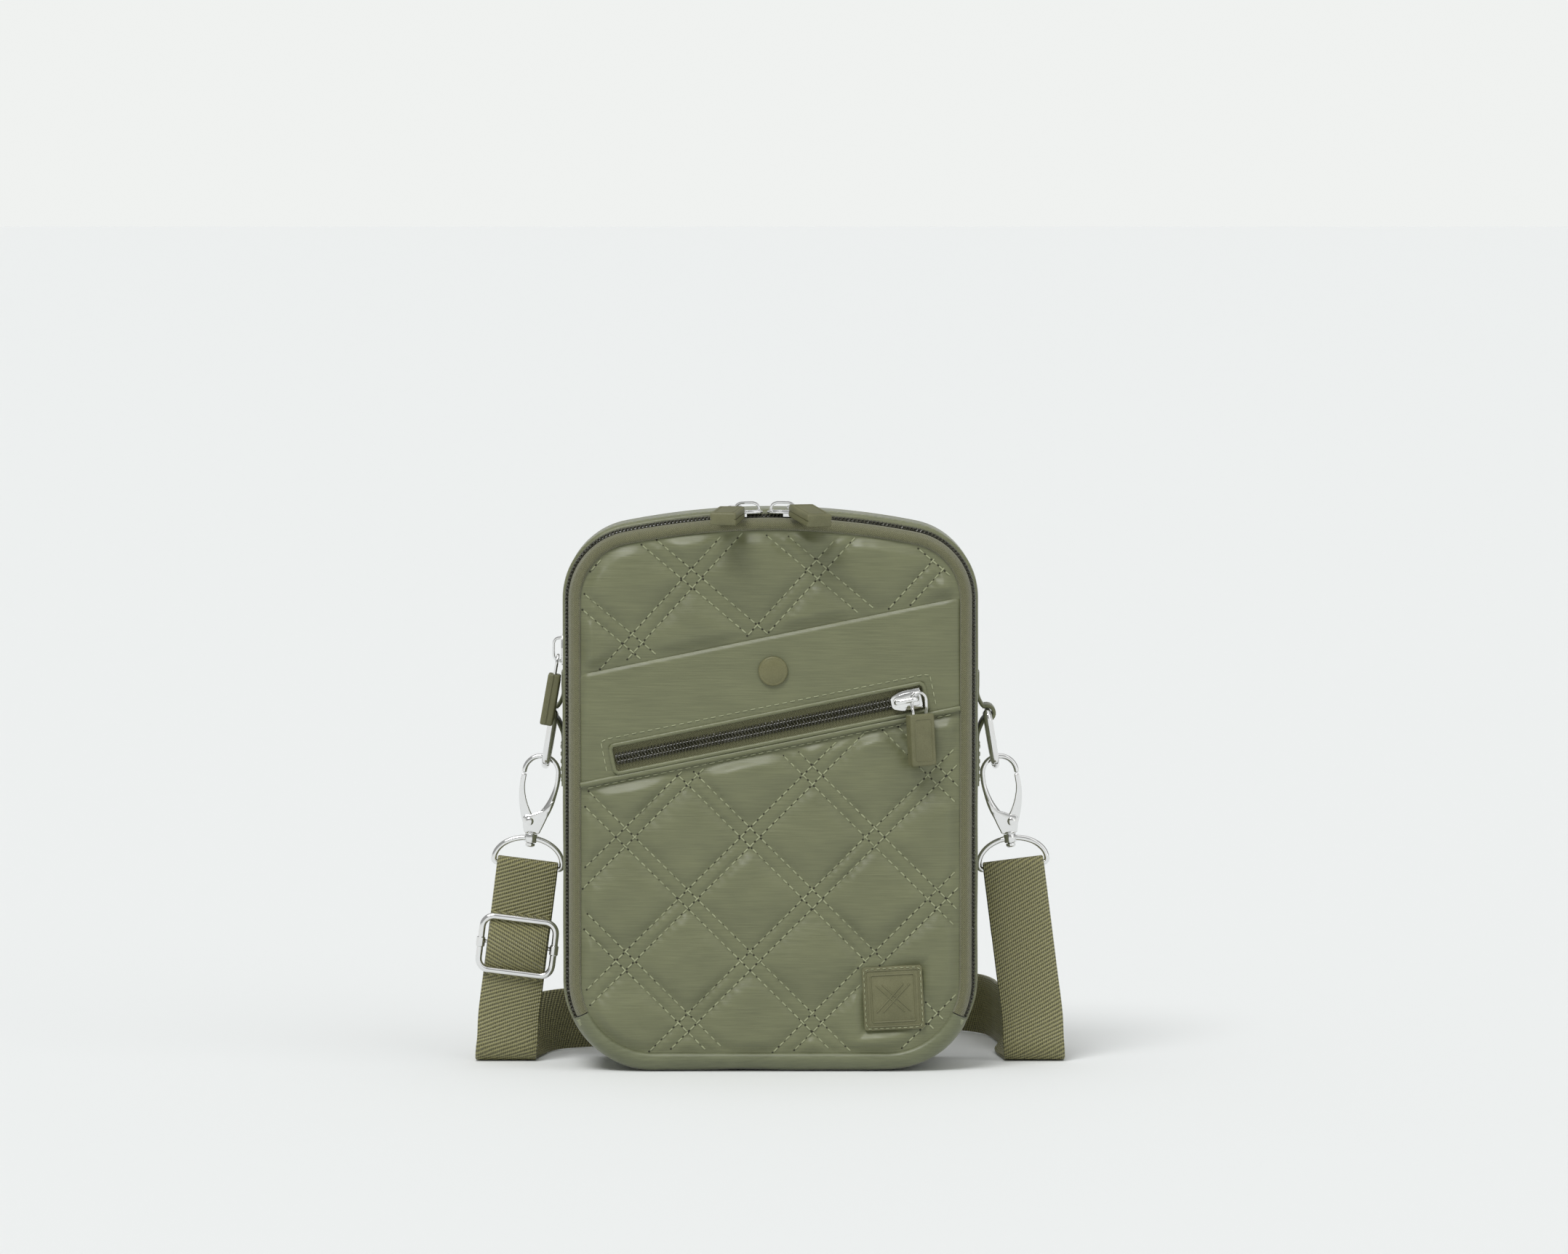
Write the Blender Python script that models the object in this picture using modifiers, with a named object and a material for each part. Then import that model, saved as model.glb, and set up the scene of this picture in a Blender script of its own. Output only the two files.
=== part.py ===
"""Crossbody purse: a small quilted bag with a wrap-round main zip, a second zip and a hook-on strap.

Metres, +Z up, the bag's front faces -Y, and the bag stands on z = 0.
"""

import math

import bmesh
import bpy
from mathutils import Matrix, Vector

# ---- driving dimensions ----
WIDTH = 0.1640
HEIGHT = 0.2214
TOP_CORNER = 0.0295  # radius of the two top corners
BOTTOM_CORNER = 0.0360
TOP_ARCH = 0.298  # radius of the slightly arched top edge
GAP = 0.0003  # between touching pieces

FRONT_Y = -0.0195  # front face of the cover's shell
SHELL = 0.0016
WADDING = 0.0034
LINING = 0.0008
PANEL_INSET = 0.0075  # from the outline to the edge of the cover's panels

COIL_RADIUS = 0.00105
COIL_INSET = 0.0021
COIL_PITCH_Y = 0.0025  # between the two halves of the main zip's coil
TAPE = 0.0007
MAIN_ZIP_Y = FRONT_Y + 0.00665  # the meeting line of the main zip's two halves
ZIP_END_ANGLE = -25.0  # where the main zip stops, in the bottom corner's arc

GUSSET_INSET = 0.0006
GUSSET_WALL = 0.0032
FRONT_GUSSET_Y = (FRONT_Y + 0.0120, FRONT_Y + 0.0158)
SECOND_ZIP_WIDTH = 0.0090
SECOND_ZIP_SINK = 0.0024  # how far its tape lies below the gusset's face
SECOND_ZIP_END_Z = 0.150  # the second zip stops here on both sides
BACK_PANEL = 0.0034
BACK_Y = 0.03952  # the bag's back
REAR_GUSSET_BACK_Y = BACK_Y - BACK_PANEL
DIVIDER = 0.0012

BAND_ANGLE = math.radians(11.5)
BAND_TOP_Z = 0.1724  # the band's edges, on the bag's centre line
BAND_BOTTOM_Z = 0.1300
BAND = 0.0012
PIPING_RADIUS = 0.0012
WINDOW_X = (-0.0622, 0.0612)  # the front zip's window in the band
WINDOW_Z = 0.1362  # its middle, on the bag's centre line
WINDOW_HEIGHT = 0.0112

SLIDER_LENGTH = 0.0122
SLIDER_WIDTH = 0.0080
SLIDER_PLATE = 0.0010
SLIDER_FLANGE = (0.0008, 0.0014)  # thickness and depth of the walls that hold the coil
BRIDGE = (0.0100, 0.0018, 0.0009)  # length, width and thickness of the bridge over the plate
BRIDGE_TOP = 0.0046
PULL_SIZE = (0.0104, 0.0050, 0.0204)  # width, thickness, length of a moulded pull
PULL_EDGE = 0.0007
LOOP_WIRE = 0.0006
LOOP_HALF = 0.0028
MAIN_SLIDER_X = (-0.0091, 0.0049)
LOOP_BEYOND = BRIDGE[1] / 2 + LOOP_WIRE + 0.0008  # from the middle of the bridge to the loop's apex
MAIN_LOOP_LENGTH = 0.0077
MAIN_PULLS = {  # splay, fall of the loop and of the pull, the loop's way outwards and the pull's way down
    "left": (math.radians(10), math.radians(6.5), math.radians(5.5), 0.0003, 0.0009),
    "right": (math.radians(22), math.radians(6.5), math.radians(10), 0.0002, 0.0002),
}
FRONT_SLIDER_X = 0.0536
FRONT_LOOP_LENGTH = 0.0077
FRONT_PULL_LEAN = math.radians(-2)
FRONT_PULL_TWIST = math.radians(24)
SECOND_SLIDER_Z = 0.1660
SECOND_LOOP_LENGTH = 0.0070
SECOND_PULL_LEAN = math.radians(10)

SNAP_RADIUS = 0.0058
SNAP_THICK = 0.0013
SNAP_XZ = (0.0011, 0.1586)
PATCH_SIZE = (0.0238, 0.0252)
PATCH_THICK = 0.0012
PATCH_XZ = (0.0485, 0.0295)
PATCH_TILT = math.radians(3.0)

HANG_Y = 0.0206  # the plane in which the D-rings, hooks and strap hang
TAB_WIDTH = 0.0190
TAB = 0.0014
D_WIRE = 0.0018  # radius
D_HALF = 0.0118
D_LEG = 0.0095
D_BAR_X = WIDTH / 2 + 0.0042
D_BAR_Z = 0.1398
D_TILT = math.radians(9.5)

EYE_X = WIDTH / 2 + 0.0094  # centre of a hook's eye
EYE_Z = 0.1154
EYE_RADIUS = 0.0068
EYE_WIRE = 0.0011
HOOK_LEAN = math.radians(7.2)
HOOK_THICK = 0.0052
GATE_THICK = 0.0026
GATE_CLEARANCE = 0.0004
RIVET_RADIUS = 0.0009
RIVET_XZ = (0.0022, -0.0196)
STUD_RADIUS = 0.0011
STUD_HEAD = 0.0019
BOSS_RADIUS = 0.0025
BOSS_TOP = -0.0246
BOSS_HEIGHT = 0.0034
RING_WIRE = 0.0011
RING_HALF = 0.0137
RING_CORNER = 0.0015
RING_BAR_Z = -0.0376

STRAIGHT = 0.0600  # the front of the strap hangs straight this far below the ring's bar
STRAP_WIDTH = 0.0244
STRAP = 0.0015
STRAP_GAP = RING_WIRE + GAP + STRAP / 2
FLOOR_CLEAR = 0.0003
COIL_CENTRE_Y = 0.1030
STRAP_COIL_RADIUS = 0.0470
COIL_ENTRY_X = 0.0515  # where each end of the strap reaches its coil
HANG_X = 0.1050  # where it comes down beside a bag of the usual width
SIDE_SHIFT = WIDTH / 2 - 0.0820

ADJUSTER_Z = 0.0464  # height of its centre above the floor
ADJUSTER_SIZE = (0.0294, 0.0216)  # between wire centres
ADJUSTER_BAR = 0.0008
ADJUSTER_WIRE = 0.0013
ADJUSTER_CORNER = 0.0045

OLIVE = (0.200, 0.210, 0.130, 1.0)
DARK_OLIVE = (0.130, 0.130, 0.075, 1.0)
RUBBER = (0.165, 0.165, 0.085, 1.0)
WEBBING = (0.150, 0.140, 0.070, 1.0)
CHROME = (0.750, 0.750, 0.750, 1.0)
LINING_GREEN = (0.090, 0.095, 0.060, 1.0)

COIL_Y = (MAIN_ZIP_Y - COIL_PITCH_Y / 2, MAIN_ZIP_Y + COIL_PITCH_Y / 2)
REAR_GUSSET_Y = FRONT_GUSSET_Y[1] + 2 * GAP + SECOND_ZIP_WIDTH
SECOND_ZIP_Y = FRONT_GUSSET_Y[1] + GAP + SECOND_ZIP_WIDTH / 2
SECOND_ZIP_INSET = GUSSET_INSET + SECOND_ZIP_SINK
WADDING_Y = FRONT_Y + SHELL + GAP
LINING_Y = WADDING_Y + WADDING + GAP
COVER_HINGE = (FRONT_Y, PANEL_INSET)


# ---- the scene ----
def clear_scene():
    for obj in list(bpy.data.objects):
        bpy.data.objects.remove(obj, do_unlink=True)


def new_collection(name):
    made = bpy.data.collections.new(name)
    bpy.context.scene.collection.children.link(made)
    return made


def material(name, colour, roughness, metallic=0.0):
    made = bpy.data.materials.new(name)
    made.use_nodes = True
    shader = made.node_tree.nodes["Principled BSDF"]
    shader.inputs["Base Color"].default_value = colour
    shader.inputs["Roughness"].default_value = roughness
    shader.inputs["Metallic"].default_value = metallic
    return made


clear_scene()
PURSE = new_collection("crossbody_purse")
CUTTERS = new_collection("cutters")
FINISH = {
    "nylon": material("satin_nylon", OLIVE, 0.5),
    "tape": material("zip_tape", DARK_OLIVE, 0.8),
    "coil": material("zip_coil", DARK_OLIVE, 0.4),
    "rubber": material("moulded_rubber", RUBBER, 0.6),
    "webbing": material("webbing", WEBBING, 0.6),
    "chrome": material("chrome", CHROME, 0.15, 1.0),
    "lining": material("lining_cloth", LINING_GREEN, 0.8),
}


def keep(name, mesh, finish, matrix=None, smooth=True):
    """An object in the purse's collection, made from a mesh."""
    obj = bpy.data.objects.new(name, mesh)
    PURSE.objects.link(obj)
    obj.data.materials.clear()
    obj.data.materials.append(FINISH[finish])
    if matrix is not None:
        obj.matrix_world = matrix
    if smooth:
        mesh.shade_smooth()
        mesh.set_sharp_from_angle(angle=math.radians(35))
    return obj


def empty(name, place, rotation=(0, 0, 0)):
    """A joint's axis stands at an empty, which its pieces hang from."""
    obj = bpy.data.objects.new(name, None)
    obj.location = place
    obj.rotation_euler = rotation
    PURSE.objects.link(obj)
    bpy.context.view_layer.update()
    return obj


def hang(child, parent):
    """Parents without moving the child."""
    world = child.matrix_world.copy()
    child.parent = parent
    child.matrix_parent_inverse = parent.matrix_world.inverted()
    child.matrix_world = world


def mesh_of(obj):
    """The evaluated mesh of an object, welded, with the object removed."""
    bpy.context.view_layer.update()
    graph = bpy.context.evaluated_depsgraph_get()
    mesh = bpy.data.meshes.new_from_object(obj.evaluated_get(graph))
    mesh.transform(obj.matrix_world)
    shape = bmesh.new()
    shape.from_mesh(mesh)
    bmesh.ops.remove_doubles(shape, verts=shape.verts, dist=0.000002)
    bmesh.ops.recalc_face_normals(shape, faces=shape.faces)
    shape.to_mesh(mesh)
    shape.free()
    bpy.data.objects.remove(obj, do_unlink=True)
    return mesh


def boolean(mesh, other, operation):
    """The mesh joined with, or cut by, another mesh."""
    base = bpy.data.objects.new("base", mesh)
    tool = bpy.data.objects.new("tool", other)
    CUTTERS.objects.link(base)
    CUTTERS.objects.link(tool)
    cut = base.modifiers.new("boolean", "BOOLEAN")
    cut.operation = operation
    cut.object = tool
    made = mesh_of(base)
    bpy.data.objects.remove(tool, do_unlink=True)
    return made


# ---- shapes ----
def arc(centre, radius, start, end, steps):
    """Points on an arc, from one angle to another in degrees."""
    points = []
    for i in range(steps + 1):
        angle = math.radians(start + (end - start) * i / steps)
        points.append((centre[0] + radius * math.cos(angle), centre[1] + radius * math.sin(angle)))
    return points


def corner_centres():
    """Centres of the top arch and the two right corners, and the angle at which arch meets corner."""
    arch = (0.0, HEIGHT - TOP_ARCH)
    across = WIDTH / 2 - TOP_CORNER
    top = (across, arch[1] + math.sqrt((TOP_ARCH - TOP_CORNER) ** 2 - across**2))
    bottom = (WIDTH / 2 - BOTTOM_CORNER, BOTTOM_CORNER)
    meet = math.degrees(math.atan2(top[1] - arch[1], across))
    return arch, top, bottom, meet


def top_path(inset, start_z=None, start_angle=None):
    """From the right side, over the top, to the left side, as (x, z)."""
    arch, top, bottom, meet = corner_centres()
    right = []
    if start_angle is not None:
        right += arc(bottom, BOTTOM_CORNER - inset, start_angle, 0, 3)
    if start_z is not None:
        right.append((WIDTH / 2 - inset, start_z))
    right += arc(top, TOP_CORNER - inset, 0, meet, 7)
    right += arc(arch, TOP_ARCH - inset, meet, 90, 4)[1:]
    left = [(-x, z) for x, z in reversed(right[:-1])]
    return right + left


def bottom_path(inset, start_angle):
    """From the left bottom corner, along the floor, to the right one, as (x, z)."""
    bottom = corner_centres()[2]
    left = [(-x, z) for x, z in arc(bottom, BOTTOM_CORNER - inset, start_angle, -90, 6)]
    right = [(-x, z) for x, z in reversed(left)]
    return left + right


def outline(inset):
    """The whole closed outline, as (x, z)."""
    return top_path(inset) + bottom_path(inset, 0)


def plate(name, loops, y0, y1, finish):
    """Flat outlines in the XZ plane, filled, from y0 to y1."""
    curve = bpy.data.curves.new(name, "CURVE")
    curve.dimensions = "2D"
    curve.fill_mode = "BOTH"
    curve.extrude = (y1 - y0) / 2
    for loop in loops:
        spline = curve.splines.new("POLY")
        spline.points.add(len(loop) - 1)
        for point, (x, z) in zip(spline.points, loop):
            point.co = (x, z, 0, 1)
        spline.use_cyclic_u = True
    obj = bpy.data.objects.new(name, curve)
    obj.matrix_world = Matrix.Translation((0, (y0 + y1) / 2, 0)) @ Matrix.Rotation(math.pi / 2, 4, "X")
    CUTTERS.objects.link(obj)
    mesh = mesh_of(obj)
    return mesh if finish is None else keep(name, mesh, finish)


def tube(name, points, radius, finish, cyclic=False, resolution=2, thickness=None):
    """A wire along points."""
    curve = bpy.data.curves.new(name, "CURVE")
    curve.dimensions = "3D"
    curve.bevel_depth = radius
    curve.bevel_resolution = resolution
    curve.use_fill_caps = not cyclic
    spline = curve.splines.new("POLY")
    spline.points.add(len(points) - 1)
    for i, (point, place) in enumerate(zip(spline.points, points)):
        point.co = (*place, 1)
        point.radius = thickness[i] if thickness else 1
    spline.use_cyclic_u = cyclic
    obj = bpy.data.objects.new(name, curve)
    CUTTERS.objects.link(obj)
    mesh = mesh_of(obj)
    return mesh if finish is None else keep(name, mesh, finish)


def loft(rings, closed=False):
    """Skin over rings that have the same number of points, with flat ends unless it closes on itself."""
    shape = bmesh.new()
    made = [[shape.verts.new(p) for p in ring] for ring in rings]
    count = len(made[0])
    pairs = list(zip(made, made[1:]))
    if closed:
        pairs.append((made[-1], made[0]))
    for a, b in pairs:
        for i in range(count):
            shape.faces.new((a[i], a[(i + 1) % count], b[(i + 1) % count], b[i]))
    if not closed:
        shape.faces.new(made[0])
        shape.faces.new(list(reversed(made[-1])))
    bmesh.ops.recalc_face_normals(shape, faces=shape.faces)
    mesh = bpy.data.meshes.new("loft")
    shape.to_mesh(mesh)
    shape.free()
    return mesh


def band(name, section, path, finish, **ends):
    """A section of (inset, y) points swept along the bag's outline."""
    rails = [path(inset, **ends) for inset, _ in section]
    rings = []
    for i in range(len(rails[0])):
        rings.append([(rail[i][0], y, rail[i][1]) for rail, (_, y) in zip(rails, section)])
    return keep(name, loft(rings), finish)


def box_mesh(size, bevel, segments=1):
    """A box with rounded edges, centred on its own origin."""
    shape = bmesh.new()
    bmesh.ops.create_cube(shape, size=1)
    bmesh.ops.scale(shape, vec=size, verts=shape.verts)
    mesh = bpy.data.meshes.new("box")
    shape.to_mesh(mesh)
    shape.free()
    obj = bpy.data.objects.new("box", mesh)
    CUTTERS.objects.link(obj)
    edge = obj.modifiers.new("edge", "BEVEL")
    edge.width = bevel
    edge.segments = segments
    return mesh_of(obj)


def cylinder_mesh(radius, depth, centre, axis="Z", sides=16):
    """A plain cylinder about a world axis."""
    shape = bmesh.new()
    bmesh.ops.create_cone(shape, cap_ends=True, segments=sides, radius1=radius, radius2=radius, depth=depth)
    turn = {"X": Matrix.Rotation(math.pi / 2, 4, "Y"), "Y": Matrix.Rotation(math.pi / 2, 4, "X")}
    if axis in turn:
        bmesh.ops.transform(shape, matrix=turn[axis], verts=shape.verts)
    bmesh.ops.translate(shape, vec=centre, verts=shape.verts)
    mesh = bpy.data.meshes.new("cylinder")
    shape.to_mesh(mesh)
    shape.free()
    return mesh


def smooth_curve(route, step, before):
    """Points spaced evenly along a smooth curve through the route, which comes from the point before it."""
    fine = []
    route = [before] + list(route)
    for i in range(1, len(route) - 1):
        a, b, c, d = (route[min(k, len(route) - 1)] for k in (i - 1, i, i + 1, i + 2))
        for j in range(16):
            t = j / 16
            low = b * 2 + (c - a) * t + (a * 2 - b * 5 + c * 4 - d) * t**2 + (b * 3 - a - c * 3 + d) * t**3
            fine.append(low / 2)
    fine.append(route[-1])
    spaced, left = [fine[0]], step
    for a, b in zip(fine, fine[1:]):
        run = (b - a).length
        while run >= left:
            a = a + (b - a) * (left / run)
            run = (b - a).length
            spaced.append(a)
            left = step
        left -= run
    if (spaced[-1] - fine[-1]).length > step / 2:
        spaced.append(fine[-1])
    else:
        spaced[-1] = fine[-1]
    return spaced


def ribbon(points, across, width, thick):
    """A flat strip along points, its width along the vector given for each, kept off the floor."""
    rings = []
    for i, point in enumerate(points):
        along = (points[min(i + 1, len(points) - 1)] - points[max(i - 1, 0)]).normalized()
        side = across[i] - along * across[i].dot(along)
        side.normalize()
        up = side.cross(along)
        half, rise = side * (width / 2), up * (thick / 2)
        ring = [point - half - rise, point + half - rise, point + half + rise, point - half + rise]
        lift = max(0.0, FLOOR_CLEAR - min(corner.z for corner in ring))
        rings.append([corner + Vector((0, 0, lift)) for corner in ring])
    return loft(rings)


# ---- the front cover ----
def clip_above(points, z_at_centre, keep_above):
    """The part of a closed outline that lies above, or below, a line at the band's angle."""

    def height(p):
        return (p[1] - z_at_centre - p[0] * math.tan(BAND_ANGLE)) * (1 if keep_above else -1)

    kept = []
    for a, b in zip(points, points[1:] + points[:1]):
        if height(a) >= 0:
            kept.append(a)
        if height(a) * height(b) < 0:
            share = height(a) / (height(a) - height(b))
            kept.append((a[0] + (b[0] - a[0]) * share, a[1] + (b[1] - a[1]) * share))
    return kept


def on_band(x, up):
    """A point of the front face in (x, z): x along the bag, and up from the front zip's middle line."""
    return (x - up * math.sin(BAND_ANGLE), WINDOW_Z + x * math.tan(BAND_ANGLE) + up * math.cos(BAND_ANGLE))


def cover_panels():
    edge = outline(PANEL_INSET)
    piping = PIPING_RADIUS / math.cos(BAND_ANGLE)
    upper = clip_above(edge, BAND_TOP_Z + GAP, True)
    lower = clip_above(edge, BAND_BOTTOM_Z - 2 * piping - 2 * GAP, False)
    middle = clip_above(clip_above(edge, BAND_TOP_Z, False), BAND_BOTTOM_Z, True)
    window = [
        on_band(WINDOW_X[0], -WINDOW_HEIGHT / 2),
        on_band(WINDOW_X[1], -WINDOW_HEIGHT / 2),
        on_band(WINDOW_X[1], WINDOW_HEIGHT / 2),
        on_band(WINDOW_X[0], WINDOW_HEIGHT / 2),
    ]
    front = FRONT_Y
    plate("upper_quilted_panel", [upper], front, front + SHELL, "nylon")
    plate("lower_quilted_panel", [lower], front, front + SHELL, "nylon")
    plate("pocket_band", [middle, window], front - GAP, front - GAP + BAND, "nylon")
    well = arc(SNAP_XZ, SNAP_RADIUS - 0.0008, 0, 345, 23)
    plate("quilt_wadding", [edge, well], WADDING_Y, WADDING_Y + WADDING, "lining")
    plate("cover_lining", [edge], LINING_Y, LINING_Y + LINING, "lining")
    centre = BAND_BOTTOM_Z - piping - GAP
    half = WIDTH / 2 - PANEL_INSET - 0.0006
    y = WADDING_Y - GAP - PIPING_RADIUS
    ends = [(side * half, y, centre + side * half * math.tan(BAND_ANGLE)) for side in (-1, 1)]
    tube("band_piping", ends, PIPING_RADIUS, "nylon")


def cover_trim():
    front = FRONT_Y - GAP
    window_floor = front + BAND
    clear = 0.0004
    x0, x1 = WINDOW_X[0] + clear, WINDOW_X[1] - clear
    tape_half = WINDOW_HEIGHT / 2 - clear
    tape_y = (window_floor - 0.0002, window_floor + 0.0001)
    tape = [on_band(x0, -tape_half), on_band(x1, -tape_half), on_band(x1, tape_half), on_band(x0, tape_half)]
    plate("front_zip_tape", [tape], tape_y[0], tape_y[1], "tape")
    coil_half = 0.0024
    coil = [on_band(x0, -coil_half), on_band(x1, -coil_half), on_band(x1, coil_half), on_band(x0, coil_half)]
    plate("front_zip_coil", [coil], tape_y[0] - GAP - 0.0011, tape_y[0] - GAP, "coil")
    x, z = SNAP_XZ
    disc = cylinder_mesh(SNAP_RADIUS, SNAP_THICK, (x, front - GAP - SNAP_THICK / 2, z), "Y", 24)
    dot = cylinder_mesh(0.0015, 0.001, (x, front - GAP - SNAP_THICK, z), "Y", 12)
    keep("snap_cap", boolean(disc, dot, "UNION"), "rubber")
    behind = front + BAND + GAP
    for name, y, thick in (("snap_socket", behind, 0.0010), ("snap_stud", behind + 0.0013, 0.0014)):
        half = cylinder_mesh(SNAP_RADIUS - 0.0014, thick, (x, y + thick / 2, z), "Y", 16)
        keep(name, half, "chrome")
    tilt = Matrix.Translation((PATCH_XZ[0], front - PATCH_THICK / 2, PATCH_XZ[1]))
    tilt = tilt @ Matrix.Rotation(-PATCH_TILT, 4, "Y")
    size = (PATCH_SIZE[0], PATCH_THICK, PATCH_SIZE[1])
    keep("rubber_patch", box_mesh(size, 0.0003), "rubber", tilt)


def main_zip():
    y_cover, y_body = COIL_Y
    beside = COIL_RADIUS + GAP
    near = COIL_INSET + 0.0004
    far = PANEL_INSET - GAP
    tape = [
        (far, FRONT_Y + 0.0010),
        (near + 0.0019, FRONT_Y + 0.0015),
        (near + 0.0005, FRONT_Y + 0.0023),
        (near, y_cover - beside - TAPE),
        (near, y_cover - beside),
        (near + 0.0009, y_cover - beside - TAPE / 2),
        (near + 0.0015, FRONT_Y + 0.0027),
        (near + 0.0023, FRONT_Y + 0.0022),
        (far, FRONT_Y + 0.0017),
    ]
    path_ends = {"start_angle": ZIP_END_ANGLE}
    band("main_zip_tape_cover", tape, top_path, "tape", **path_ends)
    body_tape = [
        (near, y_body + beside),
        (near, FRONT_GUSSET_Y[0] - GAP),
        (near + TAPE, FRONT_GUSSET_Y[0] - GAP),
        (near + TAPE, y_body + beside),
    ]
    band("main_zip_tape_body", body_tape, top_path, "tape", **path_ends)
    for name, y in (("main_zip_coil_cover", y_cover), ("main_zip_coil_body", y_body)):
        path = [(x, y, z) for x, z in top_path(COIL_INSET, **path_ends)]
        tube(name, path, COIL_RADIUS, "coil")
    roll = [
        (0.0006, FRONT_Y + 0.0036),
        (0.0018, FRONT_Y + 0.0022),
        (0.0040, FRONT_Y + 0.0020),
        (0.0052, FRONT_Y + 0.0036),
        (0.0048, FRONT_GUSSET_Y[0] - GAP),
        (0.0000, FRONT_GUSSET_Y[0] - GAP),
    ]
    band("bottom_binding", roll, bottom_path, "nylon", start_angle=ZIP_END_ANGLE - 0.8)


# ---- the bag's body ----
def body_shell():
    outer, inner = outline(GUSSET_INSET), outline(GUSSET_INSET + GUSSET_WALL)
    plate("front_gusset", [outer, inner], FRONT_GUSSET_Y[0], FRONT_GUSSET_Y[1], "nylon")
    ring = plate("rear_gusset", [outer, inner], FRONT_GUSSET_Y[1] + GAP, REAR_GUSSET_BACK_Y, None)
    slot_height = HEIGHT - SECOND_ZIP_END_Z + 0.02
    slot_width = SECOND_ZIP_WIDTH + GAP + 0.002
    slot = box_mesh((WIDTH * 1.2, slot_width, slot_height), 0.0001)
    slot_y = REAR_GUSSET_Y - slot_width / 2
    slot.transform(Matrix.Translation((0, slot_y, SECOND_ZIP_END_Z + slot_height / 2)))
    keep("rear_gusset", boolean(ring, slot, "DIFFERENCE"), "nylon")
    plate("back_panel", [outline(GUSSET_INSET)], REAR_GUSSET_BACK_Y + GAP, BACK_Y, "nylon")
    divider = outline(GUSSET_INSET + GUSSET_WALL + GAP)
    plate("divider_panel", [divider], SECOND_ZIP_Y - DIVIDER, SECOND_ZIP_Y, "lining")
    y0, y1 = SECOND_ZIP_Y - SECOND_ZIP_WIDTH / 2, SECOND_ZIP_Y + SECOND_ZIP_WIDTH / 2
    deep = SECOND_ZIP_INSET
    tape = [(deep, y0), (deep, y1), (deep + TAPE, y1), (deep + TAPE, y0)]
    band("second_zip_tape", tape, top_path, "tape", start_z=SECOND_ZIP_END_Z + GAP)
    coil_inset = deep - GAP - COIL_RADIUS
    path = [(x, SECOND_ZIP_Y, z) for x, z in top_path(coil_inset, start_z=SECOND_ZIP_END_Z + GAP)]
    tube("second_zip_coil", path, COIL_RADIUS, "coil")


# ---- zip sliders and their pulls ----
def slider_mesh(walls=(-1, 1)):
    """A zip slider in its own frame: length along X, its puller's end at +X, its plate's underside at z = 0.

    Its side walls stand at the given sides of the coil.
    """
    half = SLIDER_WIDTH / 2
    shape = [(-SLIDER_LENGTH / 2, -half * 0.55), (-0.0010, -half), (SLIDER_LENGTH / 2, -half)]
    shape += [(x, -y) for x, y in reversed(shape)]
    body = flat_mesh(shape, 0, SLIDER_PLATE)
    wall, deep = SLIDER_FLANGE
    for side in walls:
        flange = box_mesh((SLIDER_LENGTH / 2, wall, deep + SLIDER_PLATE / 2), 0.0001)
        middle = (SLIDER_LENGTH / 4 - 0.0001, side * (half - wall / 2) * 0.999, SLIDER_PLATE / 4 - deep / 2)
        flange.transform(Matrix.Translation(middle))
        body = boolean(body, flange, "UNION")
    long, wide, thick = BRIDGE
    low, top = SLIDER_PLATE * 0.5, BRIDGE_TOP
    foot, shoulder, crown = -long / 2, -long / 2 + 0.0014, -long / 2 + 0.0036
    outer = [(foot, low), (foot, top * 0.52), (shoulder, top * 0.88), (crown, top)]
    outer += [(-x, z) for x, z in reversed(outer)]
    inner = [(x * (1 - 2 * thick / long), z - (thick if z > low else 0)) for x, z in outer]
    bow = plate("bow", [outer + list(reversed(inner))], -wide / 2, wide / 2, None)
    return boolean(body, bow, "UNION")


def flat_mesh(shape, z0, z1):
    """An outline in the XY plane, filled, from z0 to z1."""
    mesh = plate("flat", [shape], z0, z1, None)
    mesh.transform(Matrix.Rotation(-math.pi / 2, 4, "X"))
    mesh.transform(Matrix.Scale(-1, 4, (0, 1, 0)) @ Matrix.Scale(-1, 4, (0, 0, 1)))
    return mesh


def pull_mesh():
    """A moulded pull that hangs from its own origin down -Z, its face to -Y."""
    mesh = box_mesh(PULL_SIZE, PULL_EDGE, 2)
    mesh.transform(Matrix.Translation((0, 0, -PULL_SIZE[2] / 2)))
    return mesh


def loop_mesh(length, twist):
    """A puller loop in the XZ plane: its apex at the origin, its legs down -Z, twisted towards their ends."""
    flat = [(LOOP_HALF, -length), (LOOP_HALF, -(length + LOOP_HALF) / 2)]
    flat += [(x, z - LOOP_HALF) for x, z in arc((0, 0), LOOP_HALF, 0, 180, 8)]
    flat += [(-x, z) for x, z in reversed(flat[:2])]
    points = [Matrix.Rotation(twist * (z / length) ** 4, 3, "Z") @ Vector((x, 0, z)) for x, z in flat]
    return tube("loop", points, LOOP_WIRE, None)


def hang_pull(tag, frame, loop_length, twist, drop, parent):
    """A loop and its pull, in the frame of the loop's apex; drop places the pull from the legs' ends."""
    loop = loop_mesh(loop_length, twist)
    loop.transform(frame)
    hang(keep(tag.replace("pull", "puller_loop"), loop, "chrome"), parent)
    place = frame @ Matrix.Translation((0, 0, -loop_length - 2 * GAP)) @ drop
    hang(keep(tag, pull_mesh(), "rubber", place), parent)


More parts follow.
